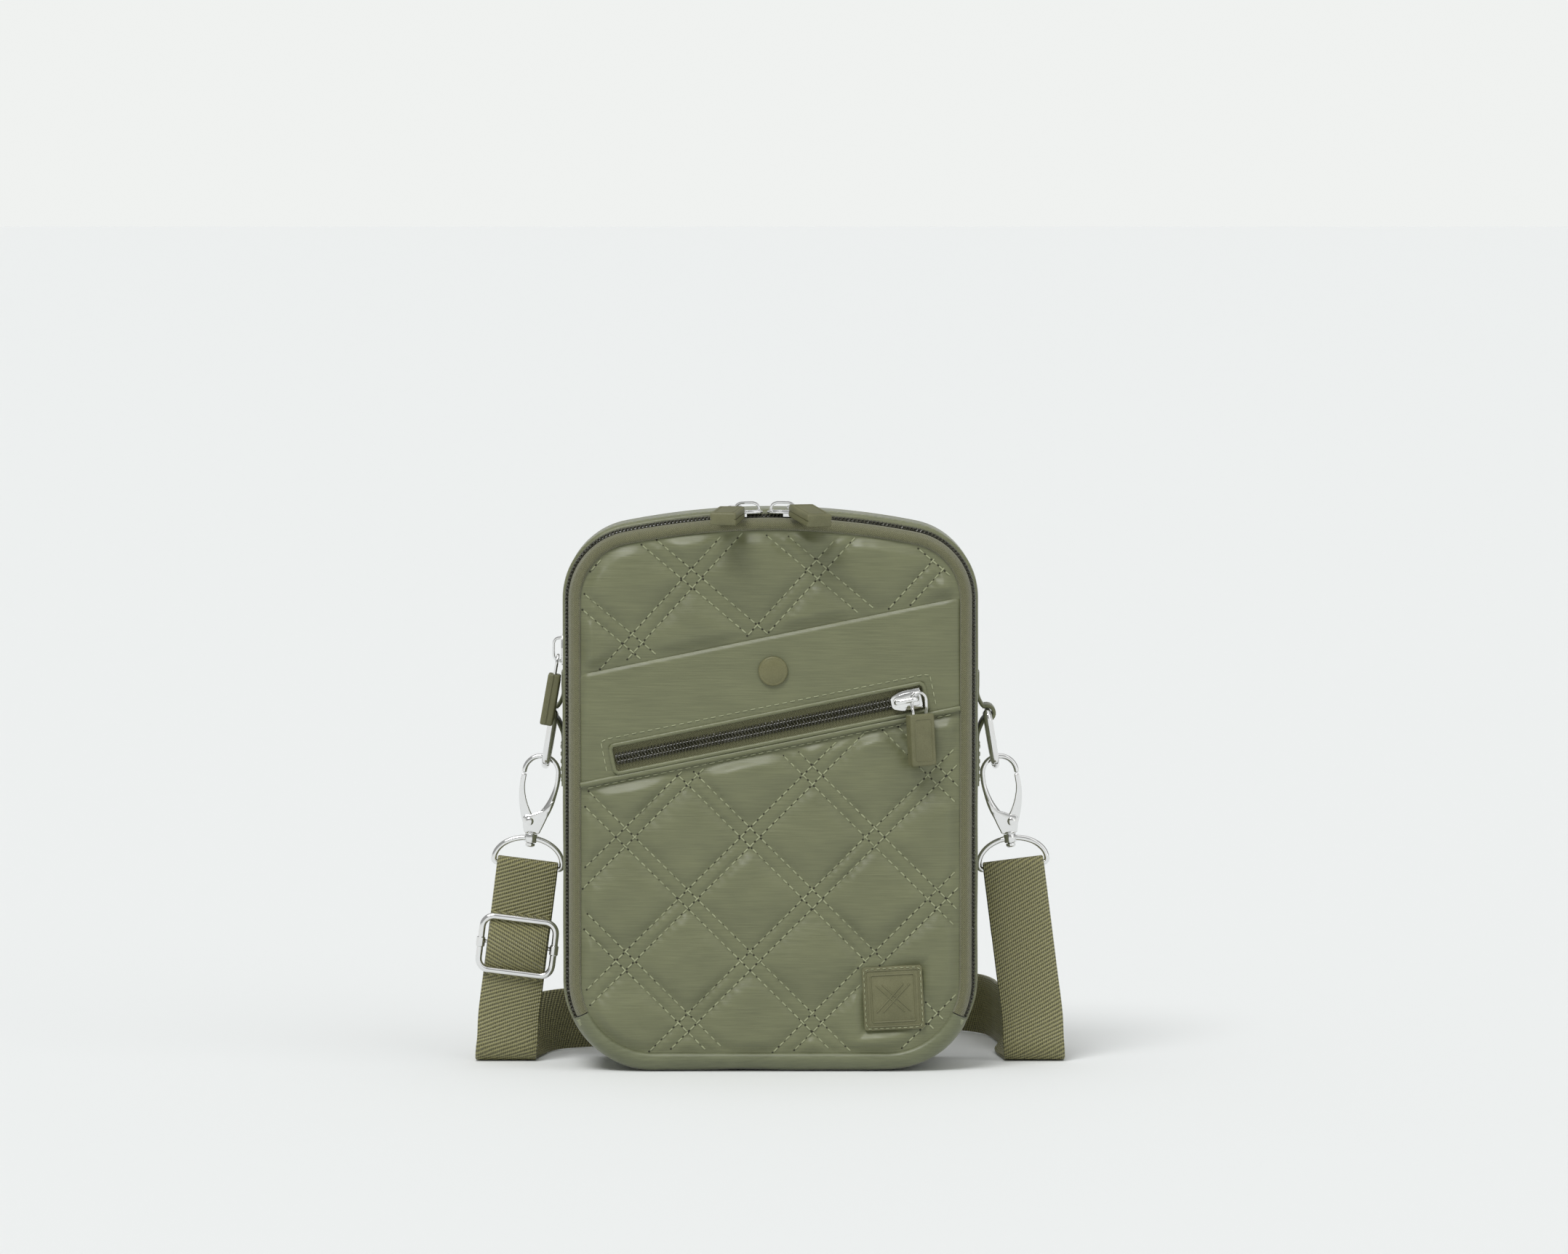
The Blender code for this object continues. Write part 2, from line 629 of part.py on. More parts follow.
def main_sliders():
    arch = corner_centres()[0]
    seat = TOP_ARCH - COIL_INSET + COIL_RADIUS + GAP
    for side, x in zip(("left", "right"), MAIN_SLIDER_X):
        away = -1 if side == "left" else 1
        turn = math.asin(x / seat)
        frame = Matrix.Translation((0, MAIN_ZIP_Y, arch[1])) @ Matrix.Rotation(turn, 4, "Y")
        frame = frame @ Matrix.Translation((0, 0, seat)) @ Matrix.Rotation(0 if away > 0 else math.pi, 4, "Z")
        track = empty(f"main_slider_{side}_track", (0, MAIN_ZIP_Y, arch[1]))
        hang(keep(f"main_slider_{side}", slider_mesh([-away]), "chrome", frame), track)
        splay, loop_fall, pull_fall, aside, below = MAIN_PULLS[side]
        post = frame @ Vector((BRIDGE[0] / 2 - BRIDGE[2] / 2, 0, (SLIDER_PLATE + BRIDGE_TOP - BRIDGE[2]) / 2))
        pivot = empty(f"main_pull_{side}_pivot", post)
        # the loop lies flat round the bridge's outer post, its legs forward
        lie = Matrix.Translation(post) @ Matrix.Rotation(splay * away, 4, "Z")
        lie = lie @ Matrix.Rotation(loop_fall - math.pi / 2, 4, "X")
        lie = lie @ Matrix.Translation((aside * away, 0, LOOP_BEYOND))
        drop = Matrix.Translation((0, below, 0)) @ Matrix.Rotation(pull_fall - loop_fall, 4, "X")
        hang_pull(f"main_pull_{side}", lie, MAIN_LOOP_LENGTH, 0, drop, pivot)
        hang(pivot, track)


def front_slider():
    face = FRONT_Y - GAP + BAND - 0.0002 - GAP - 0.0011 - GAP
    x, z = on_band(FRONT_SLIDER_X, 0)
    along = Matrix.Rotation(-BAND_ANGLE, 4, "Y")
    frame = Matrix.Translation((x, face, z)) @ along @ Matrix.Rotation(math.pi / 2, 4, "X")
    track = empty("front_slider_track", (x, face, z), (0, -BAND_ANGLE, 0))
    hang(keep("front_slider", slider_mesh(), "chrome", frame), track)
    post = frame @ Vector((BRIDGE[0] / 2 - BRIDGE[2] / 2, 0, (SLIDER_PLATE + BRIDGE_TOP - BRIDGE[2]) / 2))
    pivot = empty("front_pull_pivot", post)
    swing = Matrix.Translation(post + Vector((0.0003, 0, LOOP_BEYOND)))
    swing = swing @ Matrix.Rotation(math.radians(-3), 4, "Y") @ Matrix.Rotation(FRONT_PULL_LEAN, 4, "X")
    drop = Matrix.Rotation(-FRONT_PULL_LEAN, 4, "X") @ Matrix.Translation((0, -0.0021, 0))
    drop = drop @ Matrix.Rotation(FRONT_PULL_TWIST, 4, "Z")
    hang_pull("front_pull", swing, FRONT_LOOP_LENGTH, FRONT_PULL_TWIST, drop, pivot)
    hang(pivot, track)


def second_slider():
    face = -(WIDTH / 2 - SECOND_ZIP_INSET + 2 * GAP + 2 * COIL_RADIUS)
    frame = Matrix.Translation((face, SECOND_ZIP_Y, SECOND_SLIDER_Z)) @ Matrix.Rotation(-math.pi / 2, 4, "Y")
    frame = frame @ Matrix.Rotation(math.pi, 4, "Z")
    track = empty("second_slider_track", (face, SECOND_ZIP_Y, SECOND_SLIDER_Z))
    hang(keep("second_slider", slider_mesh(), "chrome", frame), track)
    inside = BRIDGE[0] / 2 - 2 * BRIDGE[2] - GAP - LOOP_WIRE
    apex = frame @ Vector((inside, 0, (SLIDER_PLATE + BRIDGE_TOP - BRIDGE[2]) / 2))
    pivot = empty("second_pull_pivot", apex)
    swing = Matrix.Translation(apex) @ Matrix.Rotation(SECOND_PULL_LEAN, 4, "Y")
    swing = swing @ Matrix.Rotation(math.pi / 2, 4, "Z")
    hang_pull("second_pull", swing, SECOND_LOOP_LENGTH, 0, Matrix.Identity(4), pivot)
    hang(pivot, track)


# ---- D-rings and their tabs ----
def d_rings():
    wall = WIDTH / 2 - GUSSET_INSET + GAP + TAB / 2
    turn = D_WIRE + GAP + TAB / 2
    for side, sign in (("left", -1), ("right", 1)):
        route = [(wall, D_BAR_Z + 0.0165), (wall, D_BAR_Z + 0.0075), (wall + 0.0012, D_BAR_Z + 0.0042)]
        route += arc((D_BAR_X, D_BAR_Z), turn, 118, -116, 9)
        route += [(wall + 0.0008, D_BAR_Z - 0.0062), (wall, D_BAR_Z - 0.0095), (wall, D_BAR_Z - 0.0290)]
        points = [Vector((sign * x, HANG_Y, z)) for x, z in route]
        keep(f"d_ring_tab_{side}", ribbon(points, [Vector((0, 1, 0))] * len(points), TAB_WIDTH, TAB), "nylon")
        shape = [(-D_HALF, 0), (-D_HALF, -D_LEG)]
        shape += arc((0, -D_LEG), D_HALF, 180, 360, 10)[1:]
        shape += [(D_HALF, 0)]
        ring = tube(f"d_ring_{side}", [(0, y, z) for y, z in shape], D_WIRE, None, cyclic=True)
        bar = (sign * D_BAR_X, HANG_Y, D_BAR_Z)
        frame = Matrix.Translation(bar) @ Matrix.Rotation(-sign * D_TILT, 4, "Y")
        pivot = empty(f"d_ring_{side}_pivot", bar)
        hang(keep(f"d_ring_{side}", ring, "chrome", frame), pivot)


# ---- the snap hooks, drawn for the right side and mirrored for the left ----
def hook_frame(sign):
    """The hook's own frame: origin at the middle of its eye, x outwards, leaning a little."""
    place = Matrix.Translation((sign * EYE_X, HANG_Y, EYE_Z))
    return place @ Matrix.Rotation(-sign * HOOK_LEAN, 4, "Y") @ Matrix.Scale(sign, 4, (1, 0, 0))


def mirrored(mesh, sign):
    if sign < 0:
        mesh.flip_normals()
    return mesh


def hook_body_mesh():
    limb = [(x, 0, z) for x, z in arc((0, 0), EYE_RADIUS, -2, 180, 14)]
    limb += [(-0.0068, 0, -0.0035), (-0.0062, 0, -0.0075), (-0.0050, 0, -0.0120), (-0.0030, 0, -0.0165)]
    limb += [(-0.0004, 0, -0.0205)]
    swell = [1] * 15 + [1.15, 1.35, 1.55, 1.75, 1.8]
    eye = tube("eye", limb, EYE_WIRE, None, thickness=swell)
    half = HOOK_THICK / 2
    wedge = [(-0.0066, -0.0105), (-0.0024, -0.0148), (0.0018, -0.0168), (0.0052, -0.0180)]
    wedge += [(0.0040, BOSS_TOP + GAP), (-0.0022, BOSS_TOP + GAP)]
    body = boolean(plate("wedge", [wedge], -half, half, None), eye, "UNION")
    slot = [(0.0002, -0.0100), (0.0100, -0.0100), (0.0100, -0.0222), (-0.0006, -0.0222), (-0.0014, -0.0190)]
    wide = GATE_THICK / 2 + GATE_CLEARANCE
    body = boolean(body, plate("slot", [slot], -wide, wide, None), "DIFFERENCE")
    hole = cylinder_mesh(RIVET_RADIUS + GAP, HOOK_THICK * 2, (RIVET_XZ[0], 0, RIVET_XZ[1]), "Y", 12)
    body = boolean(body, hole, "DIFFERENCE")
    centre = 0.0009
    low = BOSS_TOP - BOSS_HEIGHT - GAP
    stem = cylinder_mesh(STUD_RADIUS, 0.0062, (centre, 0, BOSS_TOP - 0.0019), sides=12)
    head = cylinder_mesh(STUD_HEAD, 0.0016, (centre, 0, low - 0.0008), sides=12)
    return boolean(body, boolean(stem, head, "UNION"), "UNION")


def gate_mesh():
    shape = [(0.0076, -0.0010), (0.0080, -0.0060), (0.0074, -0.0120), (0.0060, -0.0176), (0.0048, -0.0208)]
    shape += [(0.0022, -0.0216), (0.0004, -0.0206), (0.0003, -0.0186), (0.0022, -0.0160), (0.0046, -0.0110)]
    shape += [(0.0058, -0.0060), (0.0057, -0.0010)]
    gate = plate("gate", [shape], -GATE_THICK / 2, GATE_THICK / 2, None)
    hole = cylinder_mesh(RIVET_RADIUS + GAP, HOOK_THICK, (RIVET_XZ[0], 0, RIVET_XZ[1]), "Y", 12)
    return boolean(gate, hole, "DIFFERENCE")


def rivet_mesh():
    length = HOOK_THICK + 0.0012
    shank = cylinder_mesh(RIVET_RADIUS, length, (RIVET_XZ[0], 0, RIVET_XZ[1]), "Y", 12)
    for end in (-1, 1):
        y = end * (HOOK_THICK / 2 + GAP + 0.0003)
        head = cylinder_mesh(RIVET_RADIUS * 1.8, 0.0006, (RIVET_XZ[0], y, RIVET_XZ[1]), "Y", 12)
        shank = boolean(shank, head, "UNION")
    return shank


def strap_ring_mesh():
    centre = 0.0009
    top = BOSS_TOP - BOSS_HEIGHT / 2
    corner = RING_CORNER
    rise = top - RING_BAR_Z
    shape = [(centre - RING_HALF + corner, RING_BAR_Z)]
    shape += arc((centre + RING_HALF - corner, RING_BAR_Z + corner), corner, -90, 0, 4)
    upper = [(centre + x, RING_BAR_Z + corner + z) for x, z in ellipse_quarter(RING_HALF, rise - corner, 6)]
    shape += upper
    shape += [(2 * centre - x, z) for x, z in reversed(upper[:-1])]
    shape += [(2 * centre - x, z) for x, z in reversed(arc((centre + RING_HALF - corner, RING_BAR_Z + corner),
                                                           corner, -70, 0, 3))]
    wire = tube("ring", [(x, 0, z) for x, z in shape], RING_WIRE, None, cyclic=True)
    boss = cylinder_mesh(BOSS_RADIUS, BOSS_HEIGHT, (centre, 0, top), sides=16)
    joined = boolean(wire, boss, "UNION")
    hole = cylinder_mesh(STUD_RADIUS + GAP, BOSS_HEIGHT * 2, (centre, 0, top), sides=12)
    return boolean(joined, hole, "DIFFERENCE")


def ellipse_quarter(across, up, steps):
    """From the widest point of an ellipse to its top, without the first point."""
    quarter = []
    for i in range(1, steps + 1):
        angle = math.pi / 2 * i / steps
        quarter.append((across * math.cos(angle), up * math.sin(angle)))
    return quarter


def snap_hooks():
    makers = {
        "hook_body": hook_body_mesh,
        "hook_gate": gate_mesh,
        "hook_rivet": rivet_mesh,
        "strap_ring": strap_ring_mesh,
    }
    for side, sign in (("left", -1), ("right", 1)):
        frame = hook_frame(sign)
        swivel = empty(f"hook_{side}_swivel", frame @ Vector((0.0009, 0, 0)), (0, -sign * HOOK_LEAN, 0))
        hinge = empty(f"hook_gate_{side}_hinge", frame @ Vector((RIVET_XZ[0], 0, RIVET_XZ[1])))
        for name, maker in makers.items():
            mesh = maker()
            mesh.transform(frame)
            piece = keep(f"{name}_{side}", mirrored(mesh, sign), "chrome")
            if name == "hook_gate":
                hang(piece, hinge)
            elif name != "strap_ring":
                hang(piece, swivel)
        hang(hinge, swivel)


# ---- the strap ----
def strap_end(sign, rear_length):
    """The doubled end: up behind, over the ring's bar and down in front to the floor, in the hook's plane."""
    frame = hook_frame(sign)
    centre = 0.0009
    bar = RING_BAR_Z
    route = [(centre, STRAP_GAP, bar - rear_length), (centre, STRAP_GAP, bar - rear_length / 2)]
    route += [(centre, y, z) for y, z in arc((0, bar), STRAP_GAP, 0, 180, 8)]
    route += [(centre, -STRAP_GAP, bar - drop) for drop in (0.015, 0.030, 0.045, STRAIGHT)]
    points = [frame @ Vector(p) for p in route]
    across = [(frame.to_3x3() @ Vector((sign, 0, 0))).normalized()] * len(points)
    return points, across


def turned(start, end, share):
    """A direction between two others."""
    return (start * (1 - share) + end * share).normalized()


def floor_run(sign, floor):
    """Along the floor: each place, and the direction of the strap's width, from flat to on edge."""
    hang_across = (hook_frame(sign).to_3x3() @ Vector((sign, 0, 0))).normalized()
    flat = Vector((1, 0, 0))
    edge = Vector((0, 0, sign))
    points, across = [], []
    for x, y, z, share in floor:
        if z is None:
            side = turned(flat, edge, share)
            z = abs(side.z) * STRAP_WIDTH / 2 + abs(side.x) * STRAP / 2 + FLOOR_CLEAR
        else:
            side = turned(hang_across, flat, share)
        shift = min(1.0, (abs(x) - COIL_ENTRY_X) / (HANG_X - COIL_ENTRY_X)) * SIDE_SHIFT
        points.append(Vector((x + sign * shift, y, z)))
        across.append(side)
    return points, across


FLOOR_STEP = 0.0034
FLAT_Z = STRAP / 2 + FLOOR_CLEAR
EDGE_Z = STRAP_WIDTH / 2 + FLOOR_CLEAR
# x, y, z while it comes down (otherwise it lies on the floor), and how far its width has turned
LEFT_FLOOR = [
    (-0.1050, 0.0180, 0.0090, 0.3),
    (-0.1056, 0.0184, 0.0040, 0.8),
    (-0.1058, 0.0206, 0.0014, 1.0),
    (-0.1058, 0.0250, None, 0.0),
    (-0.1050, 0.0320, None, 0.08),
    (-0.1020, 0.0400, None, 0.30),
    (-0.0960, 0.0490, None, 0.60),
    (-0.0870, 0.0590, None, 0.90),
    (-0.0760, 0.0680, None, 1.0),
    (-0.0640, 0.0760, None, 1.0),
    (-0.0550, 0.0860, None, 1.0),
    (-0.0515, 0.1000, None, 1.0),
]
RIGHT_FLOOR = [
    (0.1050, 0.0180, 0.0090, 0.3),
    (0.1054, 0.0184, 0.0040, 0.8),
    (0.1055, 0.0206, 0.0014, 1.0),
    (0.1053, 0.0250, None, 0.0),
    (0.1042, 0.0340, None, 0.08),
    (0.1020, 0.0450, None, 0.28),
    (0.0985, 0.0580, None, 0.58),
    (0.0950, 0.0730, None, 0.90),
    (0.0925, 0.0890, None, 1.0),
    (0.0905, 0.1060, None, 1.0),
    (0.0860, 0.1220, None, 1.0),
    (0.0760, 0.1330, None, 1.0),
    (0.0640, 0.1340, None, 1.0),
    (0.0545, 0.1240, None, 1.0),
    (0.0515, 0.1070, None, 1.0),
]


def spread_vectors(route, values, points):
    """A direction for each point, read from the directions given along the route."""
    found = []
    for point in points:
        nearest = min(range(len(route) - 1), key=lambda i: off_segment(point, route[i], route[i + 1])[0])
        share = off_segment(point, route[nearest], route[nearest + 1])[1]
        found.append(turned(values[nearest], values[nearest + 1], share))
    return found


def off_segment(point, a, b):
    """How far a point is from a segment, and where along it the nearest place is."""
    line = b - a
    share = max(0.0, min(1.0, (point - a).dot(line) / max(line.length_squared, 1e-12)))
    return (point - a - line * share).length, share


def strap():
    for side, sign, floor, rear in (("left", -1, LEFT_FLOOR, 0.026), ("right", 1, RIGHT_FLOOR, 0.027)):
        points, across = strap_end(sign, rear)
        places, sides = floor_run(sign, floor)
        route = points[-2:] + places
        turns = across[-2:] + sides
        even = smooth_curve(route[1:], FLOOR_STEP, before=route[0])
        sides = spread_vectors(route, turns, even)
        mesh = ribbon(points[:-1] + even, across[:-1] + sides, STRAP_WIDTH, STRAP)
        keep(f"strap_{side}_run", mesh, "webbing")
    centre = (0, COIL_CENTRE_Y, EDGE_Z)
    roll = cylinder_mesh(STRAP_COIL_RADIUS + STRAP, STRAP_WIDTH, centre, sides=32)
    keep("strap_coil", roll, "webbing")


def adjuster():
    frame = hook_frame(-1)
    down = (EYE_Z - ADJUSTER_Z) / math.cos(HOOK_LEAN)
    y = -(STRAP_GAP + STRAP / 2 + GAP + ADJUSTER_WIRE)
    half_x, half_z = ADJUSTER_SIZE[0] / 2, ADJUSTER_SIZE[1] / 2
    centre = 0.0009
    shape = []
    for cx, cz, start in ((1, 1, 0), (-1, 1, 90), (-1, -1, 180), (1, -1, 270)):
        corner = (centre + cx * (half_x - ADJUSTER_CORNER), -down + cz * (half_z - ADJUSTER_CORNER))
        shape += arc(corner, ADJUSTER_CORNER, start, start + 90, 4)
    mesh = tube("frame", [(x, y, z) for x, z in shape], ADJUSTER_WIRE, None, cyclic=True)
    mesh.transform(frame)
    pivot = empty("adjuster_slide", frame @ Vector((centre, y, -down)), (0, HOOK_LEAN, 0))
    hang(keep("adjuster_frame", mirrored(mesh, -1), "chrome"), pivot)
    rail = centre + half_x
    reach = y + ADJUSTER_WIRE + GAP
    bar = [(rail, reach, -down), (rail - 0.0002, -0.0010, -down), (rail - 0.0012, 0, -down)]
    bar += [(2 * centre - x, back, low) for x, back, low in reversed(bar)]
    rod = tube("bar", bar, ADJUSTER_BAR, None)
    rod.transform(frame)
    hang(keep("adjuster_bar", mirrored(rod, -1), "chrome"), pivot)


def build():
    cover_panels()
    cover_trim()
    main_zip()
    body_shell()
    main_sliders()
    front_slider()
    second_slider()
    d_rings()
    snap_hooks()
    strap()
    adjuster()
    cover = empty("cover_hinge", (0, COVER_HINGE[0], COVER_HINGE[1]))
    on_cover = ("upper_quilted_panel", "lower_quilted_panel", "pocket_band", "quilt_wadding", "cover_lining")
    on_cover += ("band_piping", "front_zip_tape", "front_zip_coil", "snap_cap", "snap_socket", "snap_stud")
    on_cover += ("rubber_patch",)
    on_cover += ("main_zip_tape_cover", "main_zip_coil_cover", "front_slider_track")
    for name in on_cover:
        hang(bpy.data.objects[name], cover)


build()
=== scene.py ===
"""Crossbody purse: quilted cover, zips, fittings and webbing strap, dressed round the measured frame.

Sizes are millimetres; Shape.piece turns them into metres. The front faces -Y and the bag stands on z = 0.
"""

import logging
import math
from dataclasses import dataclass
from enum import Enum
from typing import Sequence

import bmesh
import bpy
import numpy as np
from mathutils import Matrix, Vector


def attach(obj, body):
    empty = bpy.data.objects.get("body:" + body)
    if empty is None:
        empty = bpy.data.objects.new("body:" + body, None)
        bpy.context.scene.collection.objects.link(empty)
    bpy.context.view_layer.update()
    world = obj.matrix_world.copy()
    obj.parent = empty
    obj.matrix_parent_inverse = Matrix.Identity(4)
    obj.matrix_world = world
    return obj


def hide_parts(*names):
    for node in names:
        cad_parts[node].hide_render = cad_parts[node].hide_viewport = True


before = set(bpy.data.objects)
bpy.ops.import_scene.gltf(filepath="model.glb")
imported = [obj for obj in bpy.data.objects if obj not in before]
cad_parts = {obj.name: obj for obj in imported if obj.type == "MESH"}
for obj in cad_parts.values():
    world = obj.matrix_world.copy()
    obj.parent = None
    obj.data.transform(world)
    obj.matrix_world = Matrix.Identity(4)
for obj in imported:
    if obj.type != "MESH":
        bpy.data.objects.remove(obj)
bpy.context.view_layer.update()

LOG = logging.getLogger("purse")
MM = 0.001
Array = np.ndarray
Colour = tuple[float, float, float, float]
Point = tuple[float, float, float]


class Side(Enum):
    """The bag's two sides, as seen from the front."""

    LEFT = -1
    RIGHT = 1

    @property
    def word(self) -> str:
        """The side's name in the frame's names."""
        return self.name.lower()


class Slot(Enum):
    """The record's material slots."""

    NYLON = "satin_nylon"
    TAPE = "zip_tape"
    COIL = "zip_coil"
    RUBBER = "moulded_rubber"
    WEBBING = "webbing"
    CHROME = "chrome"
    LINING = "lining_cloth"


def tint(red: float, green: float, blue: float) -> Colour:
    """A colour for a shader from the usual 0 to 255 numbers."""
    parts = [c / 255 for c in (red, green, blue)]
    linear = [c / 12.92 if c <= 0.04045 else ((c + 0.055) / 1.055) ** 2.4 for c in parts]
    return (linear[0], linear[1], linear[2], 1.0)


# ---- finishes ----
class Recipe:
    """Builds the nodes of one material."""

    def __init__(self, name: str) -> None:
        """Starts a material with a Principled shader."""
        self.material = bpy.data.materials.new(name)
        self.material.use_nodes = True
        self.tree = self.material.node_tree
        self.shader = self.tree.nodes["Principled BSDF"]

    def node(self, kind: str, links: dict[str, object] | None = None, **settings: object) -> bpy.types.Node:
        """Adds a node.

        Args:
            kind: the node's type name.
            links: an input's name or number, with a value or another node's output.
            settings: the node's own properties.

        Returns:
            The node.
        """
        made = self.tree.nodes.new(kind)
        for key, value in settings.items():
            setattr(made, key, value)
        for key, value in (links or {}).items():
            self.feed(made.inputs[int(key) if key.isdigit() else key], value)
        return made

    def feed(self, socket: bpy.types.NodeSocket, value: object) -> None:
        """Links an output to a socket, or sets the socket's value."""
        if isinstance(value, bpy.types.NodeSocket):
            self.tree.links.new(value, socket)
        else:
            socket.default_value = value

    def math(self, operation: str, a: object, b: object = 0.0) -> bpy.types.NodeSocket:
        """One sum of two numbers."""
        return self.node("ShaderNodeMath", {"0": a, "1": b}, operation=operation).outputs[0]

    def place(self, scale: Point, uv: bool = False) -> bpy.types.NodeSocket:
        """Coordinates in metres, stretched.

        Args:
            scale: how many units a metre becomes on each axis.
            uv: along and across the strip, and not the piece's own axes.

        Returns:
            The vector output.
        """
        source = self.node("ShaderNodeTexCoord").outputs["UV" if uv else "Object"]
        return self.node("ShaderNodeMapping", {"Vector": source, "Scale": scale}).outputs[0]

    def noise(self, where: bpy.types.NodeSocket, scale: float, detail: float = 2.0) -> bpy.types.NodeSocket:
        """A noise value at coordinates."""
        links = {"Vector": where, "Scale": scale, "Detail": detail}
        return self.node("ShaderNodeTexNoise", links).outputs[0]

    def wave(self, value: object, pitch: float) -> bpy.types.NodeSocket:
        """A wave from -1 to 1 that repeats each pitch, in metres."""
        return self.math("SINE", self.math("MULTIPLY", value, 2 * math.pi / pitch))

    def blend(self, share: bpy.types.NodeSocket, low: Colour, high: Colour) -> bpy.types.NodeSocket:
        """A colour between two, by a share."""
        made = self.node("ShaderNodeMix", data_type="RGBA")
        self.feed(made.inputs[0], share)
        self.feed(made.inputs[6], low)
        self.feed(made.inputs[7], high)
        return made.outputs[2]

    def spread(
        self, value: object, low: float, high: float, to_low: float, to_high: float,
    ) -> bpy.types.NodeSocket:
        """Maps a range of values onto another, and holds it there."""
        links = {"Value": value, "From Min": low, "From Max": high, "To Min": to_low, "To Max": to_high}
        return self.node("ShaderNodeMapRange", links).outputs[0]

    def relief(self, height: object, depth: float, under: object = None) -> bpy.types.NodeSocket:
        """A bump of a depth in metres, over another one if that is given."""
        links: dict[str, object] = {"Height": height, "Distance": depth, "Strength": 1.0}
        if under is not None:
            links["Normal"] = under
        return self.node("ShaderNodeBump", links).outputs[0]

    def finish(self, **sockets: object) -> bpy.types.Material:
        """Feeds the shader's sockets and gives the material."""
        for key, value in sockets.items():
            self.feed(self.shader.inputs[key.replace("_", " ")], value)
        return self.material


@dataclass(frozen=True)
class SatinNylon:
    """Closely woven nylon with fine lengthwise streaks and a soft shine."""

    name: str = "satin_nylon"
    low: Colour = tint(94, 97, 69)
    high: Colour = tint(113, 116, 84)
    streak: float = 0.00035
    length: float = 0.012

    def material(self) -> bpy.types.Material:
        """Makes the material."""
        book = Recipe(self.name)
        streaks = book.noise(book.place((1 / self.length, 1 / self.length, 1 / self.streak)), 1.0, 3.0)
        cloud = book.noise(book.place((1.0, 1.0, 1.0)), 45.0, 2.0)
        share = book.math("ADD", book.math("MULTIPLY", streaks, 0.75), book.math("MULTIPLY", cloud, 0.35))
        colour = book.blend(book.spread(share, 0.32, 0.78, 0.0, 1.0), self.low, self.high)
        weave = book.noise(book.place((2600.0, 2600.0, 5200.0)), 1.0, 1.0)
        fine = book.relief(weave, 0.00002)
        bump = book.relief(streaks, 0.00006, fine)
        rough = book.spread(streaks, 0.3, 0.7, 0.38, 0.48)
        return book.finish(
            Base_Color=colour, Roughness=rough, Normal=bump, Sheen_Weight=0.25, Sheen_Roughness=0.4,
            Specular_IOR_Level=0.55,
        )


@dataclass(frozen=True)
class Herringbone:
    """Zip tape and binding tape: a twill that turns back at each column."""

    name: str = "zip_tape"
    low: Colour = tint(72, 72, 44)
    high: Colour = tint(126, 125, 88)
    rib: float = 0.00072
    column: float = 0.0024

    def material(self) -> bpy.types.Material:
        """Makes the material, which reads its place along and across the tape."""
        book = Recipe(self.name)
        parts = book.node("ShaderNodeSeparateXYZ", {"0": book.place((1.0, 1.0, 1.0), uv=True)})
        along, across = parts.outputs[0], parts.outputs[1]
        zigzag = book.math("PINGPONG", across, self.column / 2)
        ribs = book.wave(book.math("ADD", along, zigzag), self.rib)
        yarn = book.wave(across, self.rib * 0.62)
        uneven = book.noise(book.place((900.0, 900.0, 900.0)), 1.0, 2.0)
        height = book.math("ADD", book.math("MULTIPLY", ribs, 0.5), book.math("MULTIPLY", yarn, 0.18))
        woven = book.spread(height, -0.6, 0.6, 0.0, 0.85)
        share = book.math("ADD", woven, book.math("MULTIPLY", uneven, 0.35))
        colour = book.blend(book.spread(share, 0.1, 1.1, 0.0, 1.0), self.low, self.high)
        bump = book.relief(height, 0.00018)
        return book.finish(Base_Color=colour, Roughness=0.62, Normal=bump, Sheen_Weight=0.3)


@dataclass(frozen=True)
class Webbing:
    """Shiny strap webbing: steep ribs with painted bright glints on their crests and painted shade in their
    hollows, over a fine cross weave.
    """

    name: str = "webbing"
    low: Colour = tint(62, 60, 28)
    # high is the painted glint colour of the rib crests; low is the painted shade of their hollows
    high: Colour = tint(156, 152, 104)
    rib: float = 0.00150

    def material(self) -> bpy.types.Material:
        """Makes the material, which reads its place along and across the strap."""
        book = Recipe(self.name)
        parts = book.node("ShaderNodeSeparateXYZ", {"0": book.place((1.0, 1.0, 1.0), uv=True)})
        along, across = parts.outputs[0], parts.outputs[1]
        slanted = book.math("ADD", along, book.math("MULTIPLY", across, 0.42))
        ribs = book.wave(slanted, self.rib)
        yarns = book.wave(across, 0.00082)
        patch = book.noise(book.place((1300.0, 1300.0, 1.0), uv=True), 1.0, 2.0)
        height = book.math("ADD", book.math("MULTIPLY", ribs, 0.5), book.math("MULTIPLY", yarns, 0.25))
        # Painted highlight and shade: the rib height lightens crests as glints and darkens hollows; the patch
        # noise adds the webbing's own uneven tone.
        rib_glint_and_tone = book.math("ADD", height, book.math("MULTIPLY", book.math("SUBTRACT", patch, 0.5), 1.1))
        colour = book.blend(book.spread(rib_glint_and_tone, -0.75, 0.75, 0.0, 1.0), self.low, self.high)
        bump = book.relief(height, 0.00030)
        rough = book.spread(patch, 0.35, 0.65, 0.30, 0.50)
        return book.finish(Base_Color=colour, Roughness=rough, Normal=bump, Specular_IOR_Level=0.7)


@dataclass(frozen=True)
class Chrome:
    """Polished plating with the faint haze that handling leaves."""

    name: str = "chrome"
    colour: Colour = (0.80, 0.80, 0.795, 1.0)

    def material(self) -> bpy.types.Material:
        """Makes the material."""
        book = Recipe(self.name)
        haze = book.noise(book.place((1.0, 1.0, 1.0)), 260.0, 3.0)
        rough = book.spread(haze, 0.35, 0.75, 0.06, 0.14)
        ripple = book.relief(book.noise(book.place((1.0, 1.0, 1.0)), 420.0, 1.0), 0.00002)
        return book.finish(Base_Color=self.colour, Metallic=1.0, Roughness=rough, Normal=ripple)


